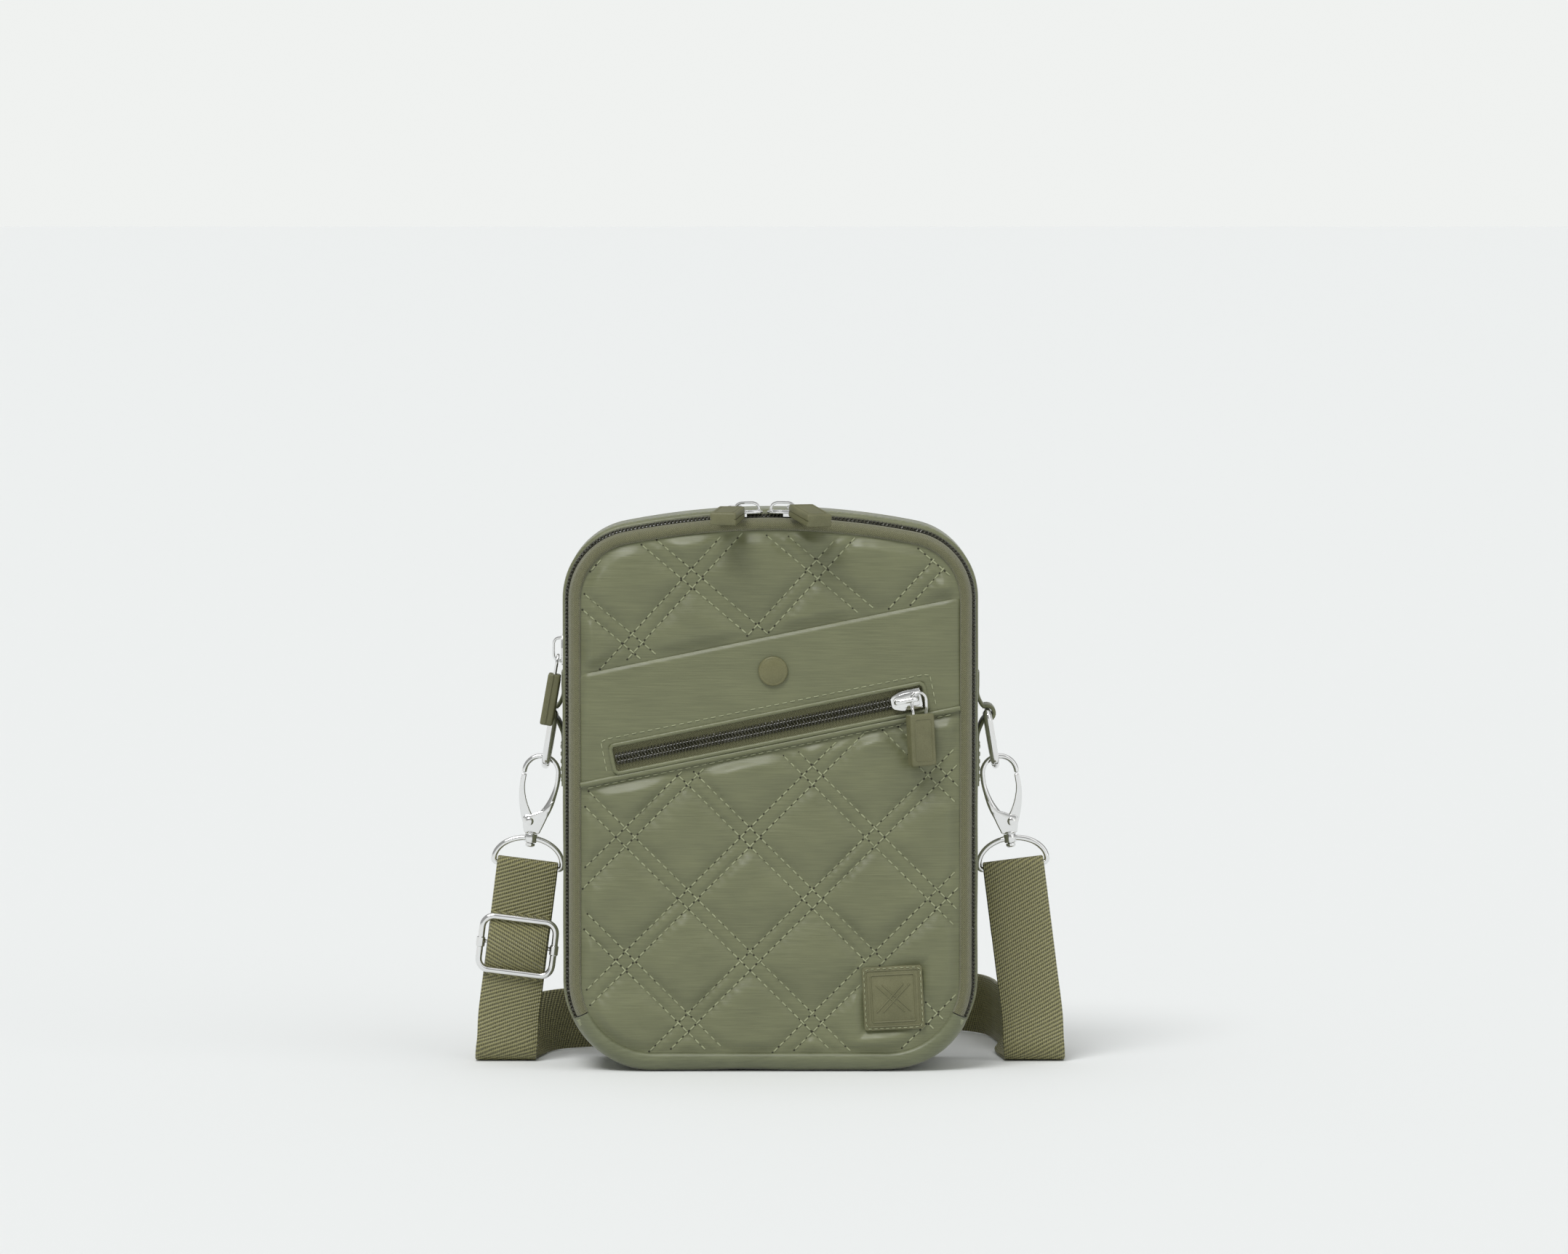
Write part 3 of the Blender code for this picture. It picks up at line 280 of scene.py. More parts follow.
@dataclass(frozen=True)
class Grained:
    """A plain moulded or woven finish with a fine grain and a slight change of tone."""

    name: str
    low: Colour
    high: Colour
    roughness: float
    grain: float = 0.0004
    depth: float = 0.00003
    sheen: float = 0.0

    def material(self) -> bpy.types.Material:
        """Makes the material."""
        book = Recipe(self.name)
        where = book.place((1.0, 1.0, 1.0))
        fine = book.noise(where, 1 / self.grain, 2.0)
        broad = book.noise(where, 120.0, 2.0)
        share = book.math("ADD", book.math("MULTIPLY", fine, 0.5), book.math("MULTIPLY", broad, 0.5))
        colour = book.blend(book.spread(share, 0.35, 0.65, 0.0, 1.0), self.low, self.high)
        rough = book.spread(broad, 0.3, 0.7, self.roughness - 0.05, self.roughness + 0.05)
        bump = book.relief(fine, self.depth)
        return book.finish(Base_Color=colour, Roughness=rough, Normal=bump, Sheen_Weight=self.sheen)


class Finish(Enum):
    """Every finish on the purse, with the slot that it stands for."""

    NYLON = (SatinNylon(), Slot.NYLON)
    BINDING = (SatinNylon("binding_nylon", tint(90, 94, 68), tint(110, 114, 85), 0.0006, 0.006), Slot.NYLON)
    TAPE = (Herringbone(), Slot.TAPE)
    COIL = (Grained("zip_coil_dark", tint(40, 40, 28), tint(62, 61, 46), 0.28), Slot.COIL)
    RUBBER = (Grained("moulded_rubber", tint(92, 92, 62), tint(108, 107, 76), 0.50), Slot.RUBBER)
    CAP = (Grained("cap_rubber", tint(98, 97, 64), tint(110, 108, 74), 0.38, 0.0006, 0.00001), Slot.RUBBER)
    WEBBING = (Webbing(), Slot.WEBBING)
    CHROME = (Chrome(), Slot.CHROME)
    THREAD = (
        Grained("thread", tint(134, 138, 106), tint(160, 164, 130), 0.50, 0.00025, 0.00004, 0.2), Slot.NYLON)
    # Painted shade: the near-black finish of the small domes that stand for the shadow in each needle hole.
    NEEDLE_HOLE_SHADE = (Grained("needle_hole_shade", tint(40, 40, 26), tint(52, 52, 36), 0.85), Slot.NYLON)
    LINING = (
        Grained("lining_cloth", tint(74, 76, 56), tint(92, 94, 72), 0.75, 0.0007, 0.00005, 0.2), Slot.LINING)

    @property
    def slot(self) -> str:
        """The record's slot for this finish."""
        return self.value[1].value

    def material(self) -> bpy.types.Material:
        """The material, made at its first use."""
        kept = bpy.data.materials.get("finish_" + self.value[0].name)
        if kept is None:
            kept = self.value[0].material()
            kept.name = "finish_" + self.value[0].name
        return kept


# ---- shapes ----
class Shape:
    """Gathers skins, wires and solids into the mesh of one piece."""

    def __init__(self) -> None:
        """Starts empty."""
        self.points: list[Array] = []
        self.faces: list[list[int]] = []
        self.corners: list[Array] = []
        self.count = 0

    def grid(
        self, rows: Array, ring: bool = False, round_: bool = False, caps: bool = False,
        uv: tuple[Array, Array] | None = None, matrix: Matrix | None = None,
    ) -> "Shape":
        """Adds a skin over rows of points.

        Args:
            rows: points, counted by row, by place in the row, and by axis.
            ring: the last row joins the first.
            round_: each row closes on itself.
            caps: flat ends over the first and last row.
            uv: millimetres along for each row and across for each place, one more where it closes.
            matrix: where the skin goes.

        Returns:
            This shape.
        """
        n, m = rows.shape[:2]
        flat = rows.reshape(-1, 3)
        if matrix is not None:
            flat = moved(flat, matrix)
        start = self.count
        self.points.append(flat)
        self.count += n * m
        i, j = np.meshgrid(np.arange(n if ring else n - 1), np.arange(m if round_ else m - 1), indexing="ij")
        i2, j2 = (i + 1) % n, (j + 1) % m
        quads = np.stack([i * m + j, i2 * m + j, i2 * m + j2, i * m + j2], -1).reshape(-1, 4) + start
        self.faces.extend(quads.tolist())
        u, v = uv if uv is not None else (np.arange(n + 1.0), np.arange(m + 1.0))
        around = [(u[i], v[j]), (u[i + 1], v[j]), (u[i + 1], v[j + 1]), (u[i], v[j + 1])]
        self.corners.append(np.stack([np.stack(pair, -1) for pair in around], -2).reshape(-1, 2))
        if caps:
            for row in (0, n - 1):
                self.faces.append([start + row * m + k for k in range(m)])
                self.corners.append(np.zeros((m, 2)))
        return self

    def wire(
        self, path: Array, radius: float | Array, sides: int = 12, closed: bool = False,
        matrix: Matrix | None = None,
    ) -> "Shape":
        """Adds a round wire along a path, with domed ends unless it closes.

        Args:
            path: points along the wire.
            radius: one for all, or one for each point.
            sides: how many faces go round it.
            closed: the last point joins the first.
            matrix: where the wire goes.

        Returns:
            This shape.
        """
        thick = np.broadcast_to(np.asarray(radius, float), (len(path),)).copy()
        if not closed:
            first, last = path[0] - path[1], path[-1] - path[-2]
            first, last = first / np.linalg.norm(first), last / np.linalg.norm(last)
            path = np.vstack([path[0] + first * thick[0] * 0.35, path, path[-1] + last * thick[-1] * 0.35])
            thick = np.concatenate([[thick[0] * 0.6], thick, [thick[-1] * 0.6]])
        side, up = frames_along(path, closed)
        turn = np.linspace(0, 2 * math.pi, sides, endpoint=False)
        ring = side[:, None] * np.cos(turn)[None, :, None] + up[:, None] * np.sin(turn)[None, :, None]
        rows = path[:, None] + thick[:, None, None] * ring
        length = run_along(path)
        length = np.append(length, length[-1] + 1)
        round_about = np.linspace(0, 2 * math.pi * float(thick.mean()), sides + 1)
        return self.grid(rows, closed, True, not closed, (length, round_about), matrix)

    def ribbon(
        self, path: Array, across: Array, width: float, thick: float, matrix: Matrix | None = None,
        crown: float = 0.0,
    ) -> "Shape":
        """Adds a flat strip with rounded edges.

        Args:
            path: points along its middle.
            across: the direction of its width at each point.
            width: its width.
            thick: its thickness.
            matrix: where it goes.
            crown: how much thicker it is in the middle.

        Returns:
            This shape.
        """
        along = directions(path)
        side = across - along * np.sum(across * along, 1)[:, None]
        side /= np.linalg.norm(side, axis=1)[:, None]
        up = np.cross(side, along)
        half, rise = width / 2, thick / 2
        bend = rise * 0.8
        places = [-half, -half + bend * 0.35, -half + bend, -half * 0.5, 0, half * 0.5, half - bend]
        places += [half - bend * 0.35, half]
        heights = [0.0, rise * 0.75, rise, rise + crown * 0.7, rise + crown, rise + crown * 0.7, rise]
        heights += [rise * 0.75, 0.0]
        upper = list(zip(places, heights))
        cut = np.array(upper + [(x, -h) for x, h in reversed(upper[1:-1])])
        rows = path[:, None] + side[:, None] * cut[None, :, :1] + up[:, None] * cut[None, :, 1:]
        length = run_along(path)
        length = np.append(length, length[-1] + 1)
        return self.grid(rows, False, True, True, (length, np.append(cut[:, 0], cut[0, 0])), matrix)

    def solid(
        self, outline: Sequence[tuple[float, float]], low: float, high: float, matrix: Matrix,
        edge: float = 0.2, steps: int = 2,
    ) -> "Shape":
        """Adds an outline in XY, raised from one height to another, its edges rounded.

        Args:
            outline: the corners, in order.
            low: the lower height.
            high: the upper height.
            matrix: where the solid goes.
            edge: the radius of its edges.
            steps: how many steps round an edge.

        Returns:
            This shape.
        """
        shape = bmesh.new()
        bottom = [shape.verts.new((x, y, low)) for x, y in outline]
        top = [shape.verts.new((x, y, high)) for x, y in outline]
        shape.faces.new(bottom)
        shape.faces.new(top)
        for k in range(len(outline)):
            nxt = (k + 1) % len(outline)
            shape.faces.new((bottom[k], bottom[nxt], top[nxt], top[k]))
        bmesh.ops.recalc_face_normals(shape, faces=shape.faces)
        if edge > 0:
            bmesh.ops.bevel(
                shape, geom=list(shape.edges), offset=edge, segments=steps, affect="EDGES", profile=0.5,
                clamp_overlap=True,
            )
        shape.verts.index_update()
        points = moved(np.array([v.co for v in shape.verts]), matrix)
        for face in shape.faces:
            self.faces.append([self.count + v.index for v in face.verts])
            self.corners.append(np.array([(v.co.x, v.co.y) for v in face.verts]))
        self.points.append(points)
        self.count += len(points)
        shape.free()
        return self

    def lathe(self, profile: Sequence[tuple[float, float]], matrix: Matrix, sides: int = 40) -> "Shape":
        """Adds a turned shape about Z, from its profile's radii and heights."""
        turn = np.linspace(0, 2 * math.pi, sides, endpoint=False)
        rings = [[(r * math.cos(a), r * math.sin(a), h) for a in turn] for r, h in profile]
        return self.grid(np.array(rings), False, True, True, None, matrix)

    def stitches(self, starts: Array, ends: Array, out: Array, radius: float = 0.30) -> "Shape":
        """Adds a row of stitches.

        Args:
            starts: where the thread comes up.
            ends: where it goes down again.
            out: the direction away from the cloth at each stitch.
            radius: of the thread.

        Returns:
            This shape.
        """
        if len(starts) == 0:
            return self
        share = np.array([0.0, 0.16, 0.5, 0.84, 1.0])
        lift = np.array([-0.30, 0.10, 0.17, 0.10, -0.30])
        thick = np.array([0.6, 0.95, 1.0, 0.95, 0.6]) * radius
        line = ends - starts
        side = np.cross(line, out)
        side /= np.linalg.norm(side, axis=1)[:, None]
        centre = starts[:, None] + line[:, None] * share[None, :, None] + out[:, None] * lift[None, :, None]
        turn = np.linspace(0, 2 * math.pi, 6, endpoint=False)
        ring = side[:, None, None] * np.cos(turn)[None, None, :, None]
        ring = ring + out[:, None, None] * np.sin(turn)[None, None, :, None]
        rows = centre[:, :, None] + ring * thick[None, :, None, None]
        for one in rows:
            self.grid(one, False, True, True)
        return self

    def lay_shade_domes(self, centres: Array, out: Array, radius: float = 0.42) -> "Shape":
        """Adds a low dome at each needle hole, a dark mark of painted shade where the thread dips in."""
        for centre, axis in zip(centres, out):
            turn = Matrix.Translation(centre) @ Vector(axis).to_track_quat("Z", "Y").to_matrix().to_4x4()
            dome = [(radius * 0.2, 0.07), (radius * 0.75, 0.05), (radius, -0.05), (radius * 0.6, -0.2)]
            self.lathe(dome, turn, 7)
        return self

    def tray(self, face: Array, back_y: float) -> "Shape":
        """Adds a face, sides that run back from its edge, and a flat back at a depth."""
        self.grid(face)
        rim = np.vstack([face[:, 0], face[-1, 1:], face[-2::-1, -1], face[0, -2:0:-1]])
        rim_back = rim.copy()
        rim_back[:, 1] = back_y
        self.grid(np.stack([rim, rim_back]), False, True, False)
        last = self.count - len(rim)
        self.faces.append(list(range(last, last + len(rim))))
        self.corners.append(rim_back[:, [0, 2]])
        return self

    def piece(
        self, name: str, finish: Finish, body: str, replaces: Sequence[str] = (), sharp: float = 40.0,
    ) -> bpy.types.Object:
        """Makes the object, dresses it, lets it ride on its body and reports it.

        Args:
            name: the piece's name.
            finish: what it is made of.
            body: the frame's body that it moves with.
            replaces: the frame's nodes that it stands for.
            sharp: edges sharper than this many degrees stay crisp.

        Returns:
            The object.
        """
        mesh = bpy.data.meshes.new(name)
        mesh.from_pydata((np.concatenate(self.points) * MM).tolist(), [], self.faces)
        layer = mesh.uv_layers.new(name="UVMap")
        layer.data.foreach_set("uv", (np.concatenate(self.corners) * MM).astype(np.float32).ravel())
        work = bmesh.new()
        work.from_mesh(mesh)
        bmesh.ops.recalc_face_normals(work, faces=work.faces)
        work.to_mesh(mesh)
        work.free()
        mesh.materials.append(finish.material())
        mesh.shade_smooth()
        mesh.set_sharp_from_angle(angle=math.radians(sharp))
        obj = bpy.data.objects.new(name, mesh)
        bpy.context.scene.collection.objects.link(obj)
        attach(obj, body)
        if replaces:
            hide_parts(*replaces)
        LOG.info("%s: %d faces, rides on %s", name, len(self.faces), body)
        return obj


def moved(points: Array, matrix: Matrix) -> Array:
    """Points put through a matrix."""
    table = np.array(matrix)
    return points @ table[:3, :3].T + table[:3, 3]


def weld(obj: bpy.types.Object) -> bpy.types.Object:
    """Joins the parts of an object's skin where they meet."""
    work = bmesh.new()
    work.from_mesh(obj.data)
    bmesh.ops.remove_doubles(work, verts=work.verts, dist=0.0000005)
    bmesh.ops.recalc_face_normals(work, faces=work.faces)
    work.to_mesh(obj.data)
    work.free()
    return obj


def run_along(path: Array) -> Array:
    """The distance along a path at each of its points."""
    return np.concatenate([[0], np.cumsum(np.linalg.norm(np.diff(path, axis=0), axis=1))])


def run_round(section: Sequence[tuple[float, float]]) -> Array:
    """The distance round a closed section at each of its corners, and back at the first."""
    return run_along(np.array([*section, section[0]]))


def directions(path: Array, closed: bool = False) -> Array:
    """The unit direction of travel at each point."""
    if closed:
        step = np.roll(path, -1, 0) - np.roll(path, 1, 0)
    else:
        step = np.gradient(path, axis=0)
    return step / np.linalg.norm(step, axis=1)[:, None]


def frames_along(path: Array, closed: bool) -> tuple[Array, Array]:
    """Two directions square to a path, carried along it without twist."""
    along = directions(path, closed)
    first = np.cross(along[0], (0.0, 0.0, 1.0))
    if np.linalg.norm(first) < 0.1:
        first = np.cross(along[0], (0.0, 1.0, 0.0))
    side = [first / np.linalg.norm(first)]
    for direction in along[1:]:
        new = side[-1] - direction * np.dot(side[-1], direction)
        side.append(new / np.linalg.norm(new))
    sides = np.array(side)
    return sides, np.cross(along, sides)


def smooth(points: Sequence[Sequence[float]], step: float) -> Array:
    """Evenly spaced points on a smooth curve through the given ones."""
    known = np.array(points, float)
    last = len(known) - 1
    fine = []
    for k in range(last):
        a, b, c, d = (known[min(max(k + i, 0), last)] for i in (-1, 0, 1, 2))
        t = np.linspace(0, 1, 24, endpoint=False)[:, None]
        square, cube = (a * 2 - b * 5 + c * 4 - d) * t**2, (b * 3 - a - c * 3 + d) * t**3
        fine.append((b * 2 + (c - a) * t + square + cube) / 2)
    fine.append(known[-1:])
    return even(np.vstack(fine), step)


def even(path: Array, step: float, closed: bool = False) -> Array:
    """A path with evenly spaced points; a closed one comes back to its start and drops the repeat."""
    run = run_along(path)
    count = max(2, int(round(run[-1] / step)))
    places = np.linspace(0, run[-1], count + 1)
    found = np.stack([np.interp(places, run, path[:, k]) for k in range(path.shape[1])], 1)
    return found[:-1] if closed else found


def bend(
    centre: tuple[float, float], radius: float, start: float, end: float, steps: int,
) -> list[tuple[float, float]]:
    """Points on an arc, from one angle to another in degrees."""
    angles = np.radians(np.linspace(start, end, steps + 1))
    return [(centre[0] + radius * math.cos(a), centre[1] + radius * math.sin(a)) for a in angles]


def rounded_box(
    half_x: float, half_z: float, radius: float, steps: int, centre: tuple[float, float] = (0.0, 0.0),
) -> list[tuple[float, float]]:
    """A rectangle's outline with rounded corners, from the right side's upper end and round to the left."""
    points = []
    for sx, sz, start in ((1, 1, 0), (-1, 1, 90), (-1, -1, 180), (1, -1, 270)):
        corner = (centre[0] + sx * (half_x - radius), centre[1] + sz * (half_z - radius))
        points += bend(corner, radius, start, start + 90, steps)
    return points


def step_between(value: Array, low: float, high: float) -> Array:
    """Rises smoothly from 0 at low to 1 at high."""
    share = np.clip((value - low) / (high - low), 0, 1)
    return share * share * (3 - 2 * share)


class Crumple:
    """A gentle, repeatable unevenness for cloth."""

    def __init__(self, seed: int, size: float) -> None:
        """Chooses its waves; size is the shortest one's length."""
        chance = np.random.default_rng(seed)
        lengths = size * np.array([1.0, 1.3, 1.7, 2.2, 2.9, 3.8])
        angles = chance.uniform(0, math.pi, 6)
        self.pull = np.stack([np.cos(angles), np.sin(angles)], 1) * (2 * math.pi / lengths)[:, None]
        self.start = chance.uniform(0, 2 * math.pi, 6)
        self.size = np.sqrt(lengths / lengths[-1]) / 2.2

    def at(self, a: Array, b: Array) -> Array:
        """Its value, about -1 to 1, at two coordinates in millimetres."""
        total = np.zeros(np.broadcast(a, b).shape)
        for (ka, kb), start, size in zip(self.pull, self.start, self.size):
            total = total + size * np.sin(ka * a + kb * b + start)
        return total


# ---- the bag's outline ----
@dataclass(frozen=True)
class Outline:
    """The bag's rounded outline in XZ, measured counter-clockwise from the middle of its bottom."""

    half: float = 82.0
    height: float = 221.4
    top_corner: float = 29.5
    bottom_corner: float = 36.0
    arch: float = 298.0

    @property
    def arch_z(self) -> float:
        """Height of the arch's centre."""
        return self.height - self.arch

    @property
    def corner_x(self) -> float:
        """How far out the top corners' centres are."""
        return self.half - self.top_corner

    @property
    def corner_z(self) -> float:
        """Height of the top corners' centres."""
        return self.arch_z + math.sqrt((self.arch - self.top_corner) ** 2 - self.corner_x**2)

    @property
    def meet(self) -> float:
        """The angle at which the arch meets the corner, in degrees."""
        return math.degrees(math.atan2(self.corner_z - self.arch_z, self.corner_x))

    def side_length(self, z: float) -> float:
        """The distance along the outline to a height on its straight right side."""
        flat = self.half - self.bottom_corner
        return flat + self.bottom_corner * math.pi / 2 + z - self.bottom_corner

    def zip_start(self, angle: float = -25.0) -> float:
        """The distance along the outline to an angle of the right bottom corner."""
        return self.half - self.bottom_corner + self.bottom_corner * math.radians(90 + angle)

    def trace(self) -> tuple[Array, Array, Array]:
        """Close points on the outline, its outward directions there, and the distance to each."""
        flat = self.half - self.bottom_corner
        x = [np.linspace(0, flat, 90, endpoint=False)]
        z = [np.zeros(90)]
        nx, nz = [np.zeros(90)], [-np.ones(90)]
        parts = (
            ((flat, self.bottom_corner), self.bottom_corner, -90.0, 0.0, 200),
            (None, None, None, None, 260),
            ((self.corner_x, self.corner_z), self.top_corner, 0.0, self.meet, 200),
            ((0.0, self.arch_z), self.arch, self.meet, 90.0, 160),
        )
        for centre, radius, start, end, count in parts:
            if centre is None:
                x.append(np.full(count, self.half))
                z.append(np.linspace(self.bottom_corner, self.corner_z, count, endpoint=False))
                nx.append(np.ones(count))
                nz.append(np.zeros(count))
                continue
            angle = np.radians(np.linspace(start, end, count, endpoint=False))
            x.append(centre[0] + radius * np.cos(angle))
            z.append(centre[1] + radius * np.sin(angle))
            nx.append(np.cos(angle))
            nz.append(np.sin(angle))
        right = np.stack([np.concatenate(x), np.concatenate(z)], 1)
        outward = np.stack([np.concatenate(nx), np.concatenate(nz)], 1)
        top, top_out = np.array([[0.0, self.height]]), np.array([[0.0, 1.0]])
        mirror = np.array([-1.0, 1.0])
        points = np.vstack([right, top, right[::-1] * mirror])
        out = np.vstack([outward, top_out, outward[::-1] * mirror])
        run = run_along(points)
        return points, out, run

    @property
    def length(self) -> float:
        """The way all round."""
        return float(self.trace()[2][-1])

    def at(self, places: Array) -> tuple[Array, Array]:
        """Points and outward directions at distances along the outline."""
        points, out, run = self.trace()
        where = np.mod(places, run[-1])
        found = np.stack([np.interp(where, run, points[:, k]) for k in (0, 1)], 1)
        normal = np.stack([np.interp(where, run, out[:, k]) for k in (0, 1)], 1)
        return found, normal / np.linalg.norm(normal, axis=1)[:, None]

    def outward(self, places: Array) -> Array:
        """The outward directions in space at distances along the outline."""
        _, normal = self.at(places)
        return np.stack([normal[:, 0], 0 * places, normal[:, 1]], 1)

    def rail(self, places: Array, inset: Array | float, y: Array | float) -> Array:
        """Points inside the outline by an inset, at a depth."""
        points, normal = self.at(places)
        flat = points - normal * np.broadcast_to(inset, (len(places),))[:, None]
        return np.stack([flat[:, 0], np.broadcast_to(y, (len(places),)), flat[:, 1]], 1)

    def depth(self, x: Array, z: Array) -> Array:
        """How far points are inside the outline."""
        across = np.abs(x)
        found = np.minimum(np.minimum(self.half - across, z), self.arch - np.hypot(x, z - self.arch_z))
        low_x = self.half - self.bottom_corner
        low = self.bottom_corner - np.hypot(across - low_x, z - self.bottom_corner)
        found = np.where((across > low_x) & (z < self.bottom_corner), low, found)
        high = self.top_corner - np.hypot(across - self.corner_x, z - self.corner_z)
        turned = np.degrees(np.arctan2(z - self.corner_z, across - self.corner_x))
        return np.where((across > self.corner_x) & (z > self.corner_z) & (turned < self.meet), high, found)

    def lower(self, x: Array, inset: float) -> Array:
        """The height of the lower edge of the outline inside by an inset, at places across."""
        over = np.maximum(np.abs(x) - (self.half - self.bottom_corner), 0)
        radius = self.bottom_corner - inset
        return self.bottom_corner - np.sqrt(np.maximum(radius**2 - over**2, 0))

    def upper(self, x: Array, inset: float) -> Array:
        """The height of the upper edge of the outline inside by an inset, at places across."""
        arch = self.arch - inset
        meet_x = arch * self.corner_x / (self.arch - self.top_corner)
        over = np.abs(x) - self.corner_x
        corner = self.corner_z + np.sqrt(np.maximum((self.top_corner - inset) ** 2 - over**2, 0))
        return np.where(np.abs(x) < meet_x, self.arch_z + np.sqrt(arch**2 - x**2), corner)


OUTLINE = Outline()


# ---- the quilted cover ----
@dataclass(frozen=True)
class Lattice:
    """The quilting's crossed pairs of stitch lines."""

    crossing: tuple[float, float]
    rising: tuple[float, float]
    falling: tuple[float, float]
    half_pair: float = 2.65
    pitch: float = 3.4
    reach: float = 260.0

    def axes(self) -> tuple[Array, Array, Array]:
        """The two directions as columns, and the distance between neighbouring lines of each family."""
        table = np.array([self.rising, self.falling]).T
        area = abs(np.linalg.det(table))
        spacing = area / np.linalg.norm(table, axis=0)
        return table, np.linalg.inv(table), spacing

    def across(self, x: Array, z: Array) -> tuple[Array, Array, Array, Array]:
        """The distance from the nearest pair's middle, and the way along it, for each family."""
        table, back, spacing = self.axes()
        u = back[0, 0] * (x - self.crossing[0]) + back[0, 1] * (z - self.crossing[1])
        v = back[1, 0] * (x - self.crossing[0]) + back[1, 1] * (z - self.crossing[1])
        lengths = np.linalg.norm(table, axis=0)
        rising = np.abs(v - np.round(v)) * spacing[0]
        falling = np.abs(u - np.round(u)) * spacing[1]
        return rising, u * lengths[0], falling, v * lengths[1]

    def swell(self, distance: Array) -> Array:
        """The padding's height, 0 to 1, at a distance from a pair's middle."""
        outside = 1 - np.exp(-np.maximum(distance - self.half_pair, 0) / 3.3)
        inside = 0.34 * (1 - np.minimum(distance / self.half_pair, 1) ** 2)
        return np.where(distance > self.half_pair, outside, inside)

    def height(self, x: Array, z: Array) -> Array:
        """The quilt's height, 0 at a stitch line and 1 on a full pillow, with the pull of each stitch."""
        rising, along_r, falling, along_f = self.across(x, z)
        base = self.swell(rising) * self.swell(falling)
        pucker = 0.0
        for distance, along in ((rising, along_r), (falling, along_f)):
            near = np.exp(-np.abs(distance - self.half_pair) / 1.7)
            pucker = pucker + near * np.cos(2 * math.pi * along / self.pitch) * 0.055
        return base + pucker * np.clip(base * 4 + 0.4, 0, 1)

    def rows(self) -> list[tuple[Array, Array]]:
        """Every stitch line as starts and ends in XZ."""
        table, _, _ = self.axes()
        made = []
        for own, other in ((0, 1), (1, 0)):
            way = table[:, own] / np.linalg.norm(table[:, own])
            square = np.array([-way[1], way[0]])
            for k in range(-7, 8):
                for offset in (-self.half_pair, self.half_pair):
                    start = np.array(self.crossing) + table[:, other] * k + square * offset
                    t = np.arange(-self.reach, self.reach, self.pitch)
                    first = start + way * (t - self.pitch * 0.38)[:, None]
                    last = start + way * (t + self.pitch * 0.38)[:, None]
                    made.append((first, last))
        return made


@dataclass(frozen=True)
class Band:
    """The plain slanted band that holds the front pocket's zip."""

    angle: float = 11.5
    top_z: float = 172.4
    bottom_z: float = 130.0
    middle_z: float = 136.2
    window: tuple[float, float] = (-62.2, 61.2)
    window_half: float = 5.6
    top_up: float = 35.5

    @property
    def slope(self) -> float:
        """How much it rises for each millimetre across."""
        return math.tan(math.radians(self.angle))

    def xz(self, s: Array | float, up: Array | float) -> tuple[Array, Array]:
        """The place of a point along the band and up from the zip's middle line."""
        turn = math.radians(self.angle)
        return s - up * math.sin(turn), self.middle_z + s * self.slope + up * math.cos(turn)

    def path(self, spots: Array, y: float) -> Array:
        """Points of the front face from places along and up the band."""
        x, z = self.xz(spots[:, 0], spots[:, 1])
        return np.stack([x, np.full(len(x), y), z], 1)


BAND = Band()


@dataclass(frozen=True)
class Patch:
    """The moulded patch sewn on the lower right of the front, with a plain crossed-line motif."""

    centre: tuple[float, float] = (48.5, 29.5)
    size: tuple[float, float] = (23.8, 25.2)
    tilt: float = 3.0
    back_y: float = -19.5
    front_y: float = -20.9

    def local(self, x: Array, z: Array) -> tuple[Array, Array]:
        """Places measured from the patch's middle, square to its sides."""
        turn = math.radians(self.tilt)
        dx, dz = x - self.centre[0], z - self.centre[1]
        return dx * math.cos(turn) + dz * math.sin(turn), dz * math.cos(turn) - dx * math.sin(turn)

    def beside(self, x: Array, z: Array) -> Array:
        """How far points are outside the patch; below zero under it."""
        a, b = self.local(x, z)
        return np.maximum(np.abs(a) - self.size[0] / 2, np.abs(b) - self.size[1] / 2)

    def build(self) -> None:
        """Makes the patch, its motif and its stitches."""
        place = Matrix.Translation((self.centre[0], 0, self.centre[1]))
        place = place @ Matrix.Rotation(-math.radians(self.tilt), 4, "Y")
        place = place @ Matrix.Rotation(math.pi / 2, 4, "X")
        half_x, half_z = self.size[0] / 2, self.size[1] / 2

        def rounded(inset: float, radius: float) -> list[tuple[float, float]]:
            """A rounded rectangle inside the patch's edge."""
            return rounded_box(half_x - inset, half_z - inset, radius, 4)

        shape = Shape()
        shape.solid(rounded(0, 1.3), -self.back_y, -self.front_y, place, 0.25)
        for inset, radius, thick in ((1.5, 0.8, 0.30), (3.3, 0.5, 0.34)):
            ring = np.array([(x, y, -self.front_y) for x, y in rounded(inset, radius)])
            shape.wire(even(np.vstack([ring, ring[:1]]), 0.8, True), thick, 8, True, place)
        for sign in (-1, 1):
            for shift in (-1.3, 1.3):
                ends = np.array([[-5.4 + shift, -5.4 * sign, 0], [5.4 + shift, 5.4 * sign, 0]])
                ends[:, 2] = -self.front_y
                shape.wire(even(ends, 1.0), 0.30, 8, False, place)
        shape.piece("rubber_patch_moulding", Finish.RUBBER, "cover", ["rubber_patch"])
        loop = np.array([(x, y, -self.front_y + 0.02) for x, y in rounded(0.75, 0.9)])
        line = even(np.vstack([loop, loop[:1]]), 2.3, True)
        after = np.roll(line, -1, 0)
        starts, ends = moved(line, place), moved(line + (after - line) * 0.66, place)
        out = np.tile([0.0, -1.0, 0.0], (len(line), 1))
        Shape().stitches(starts, ends, out, 0.19).piece("patch_stitches", Finish.THREAD, "cover")


PATCH = Patch()


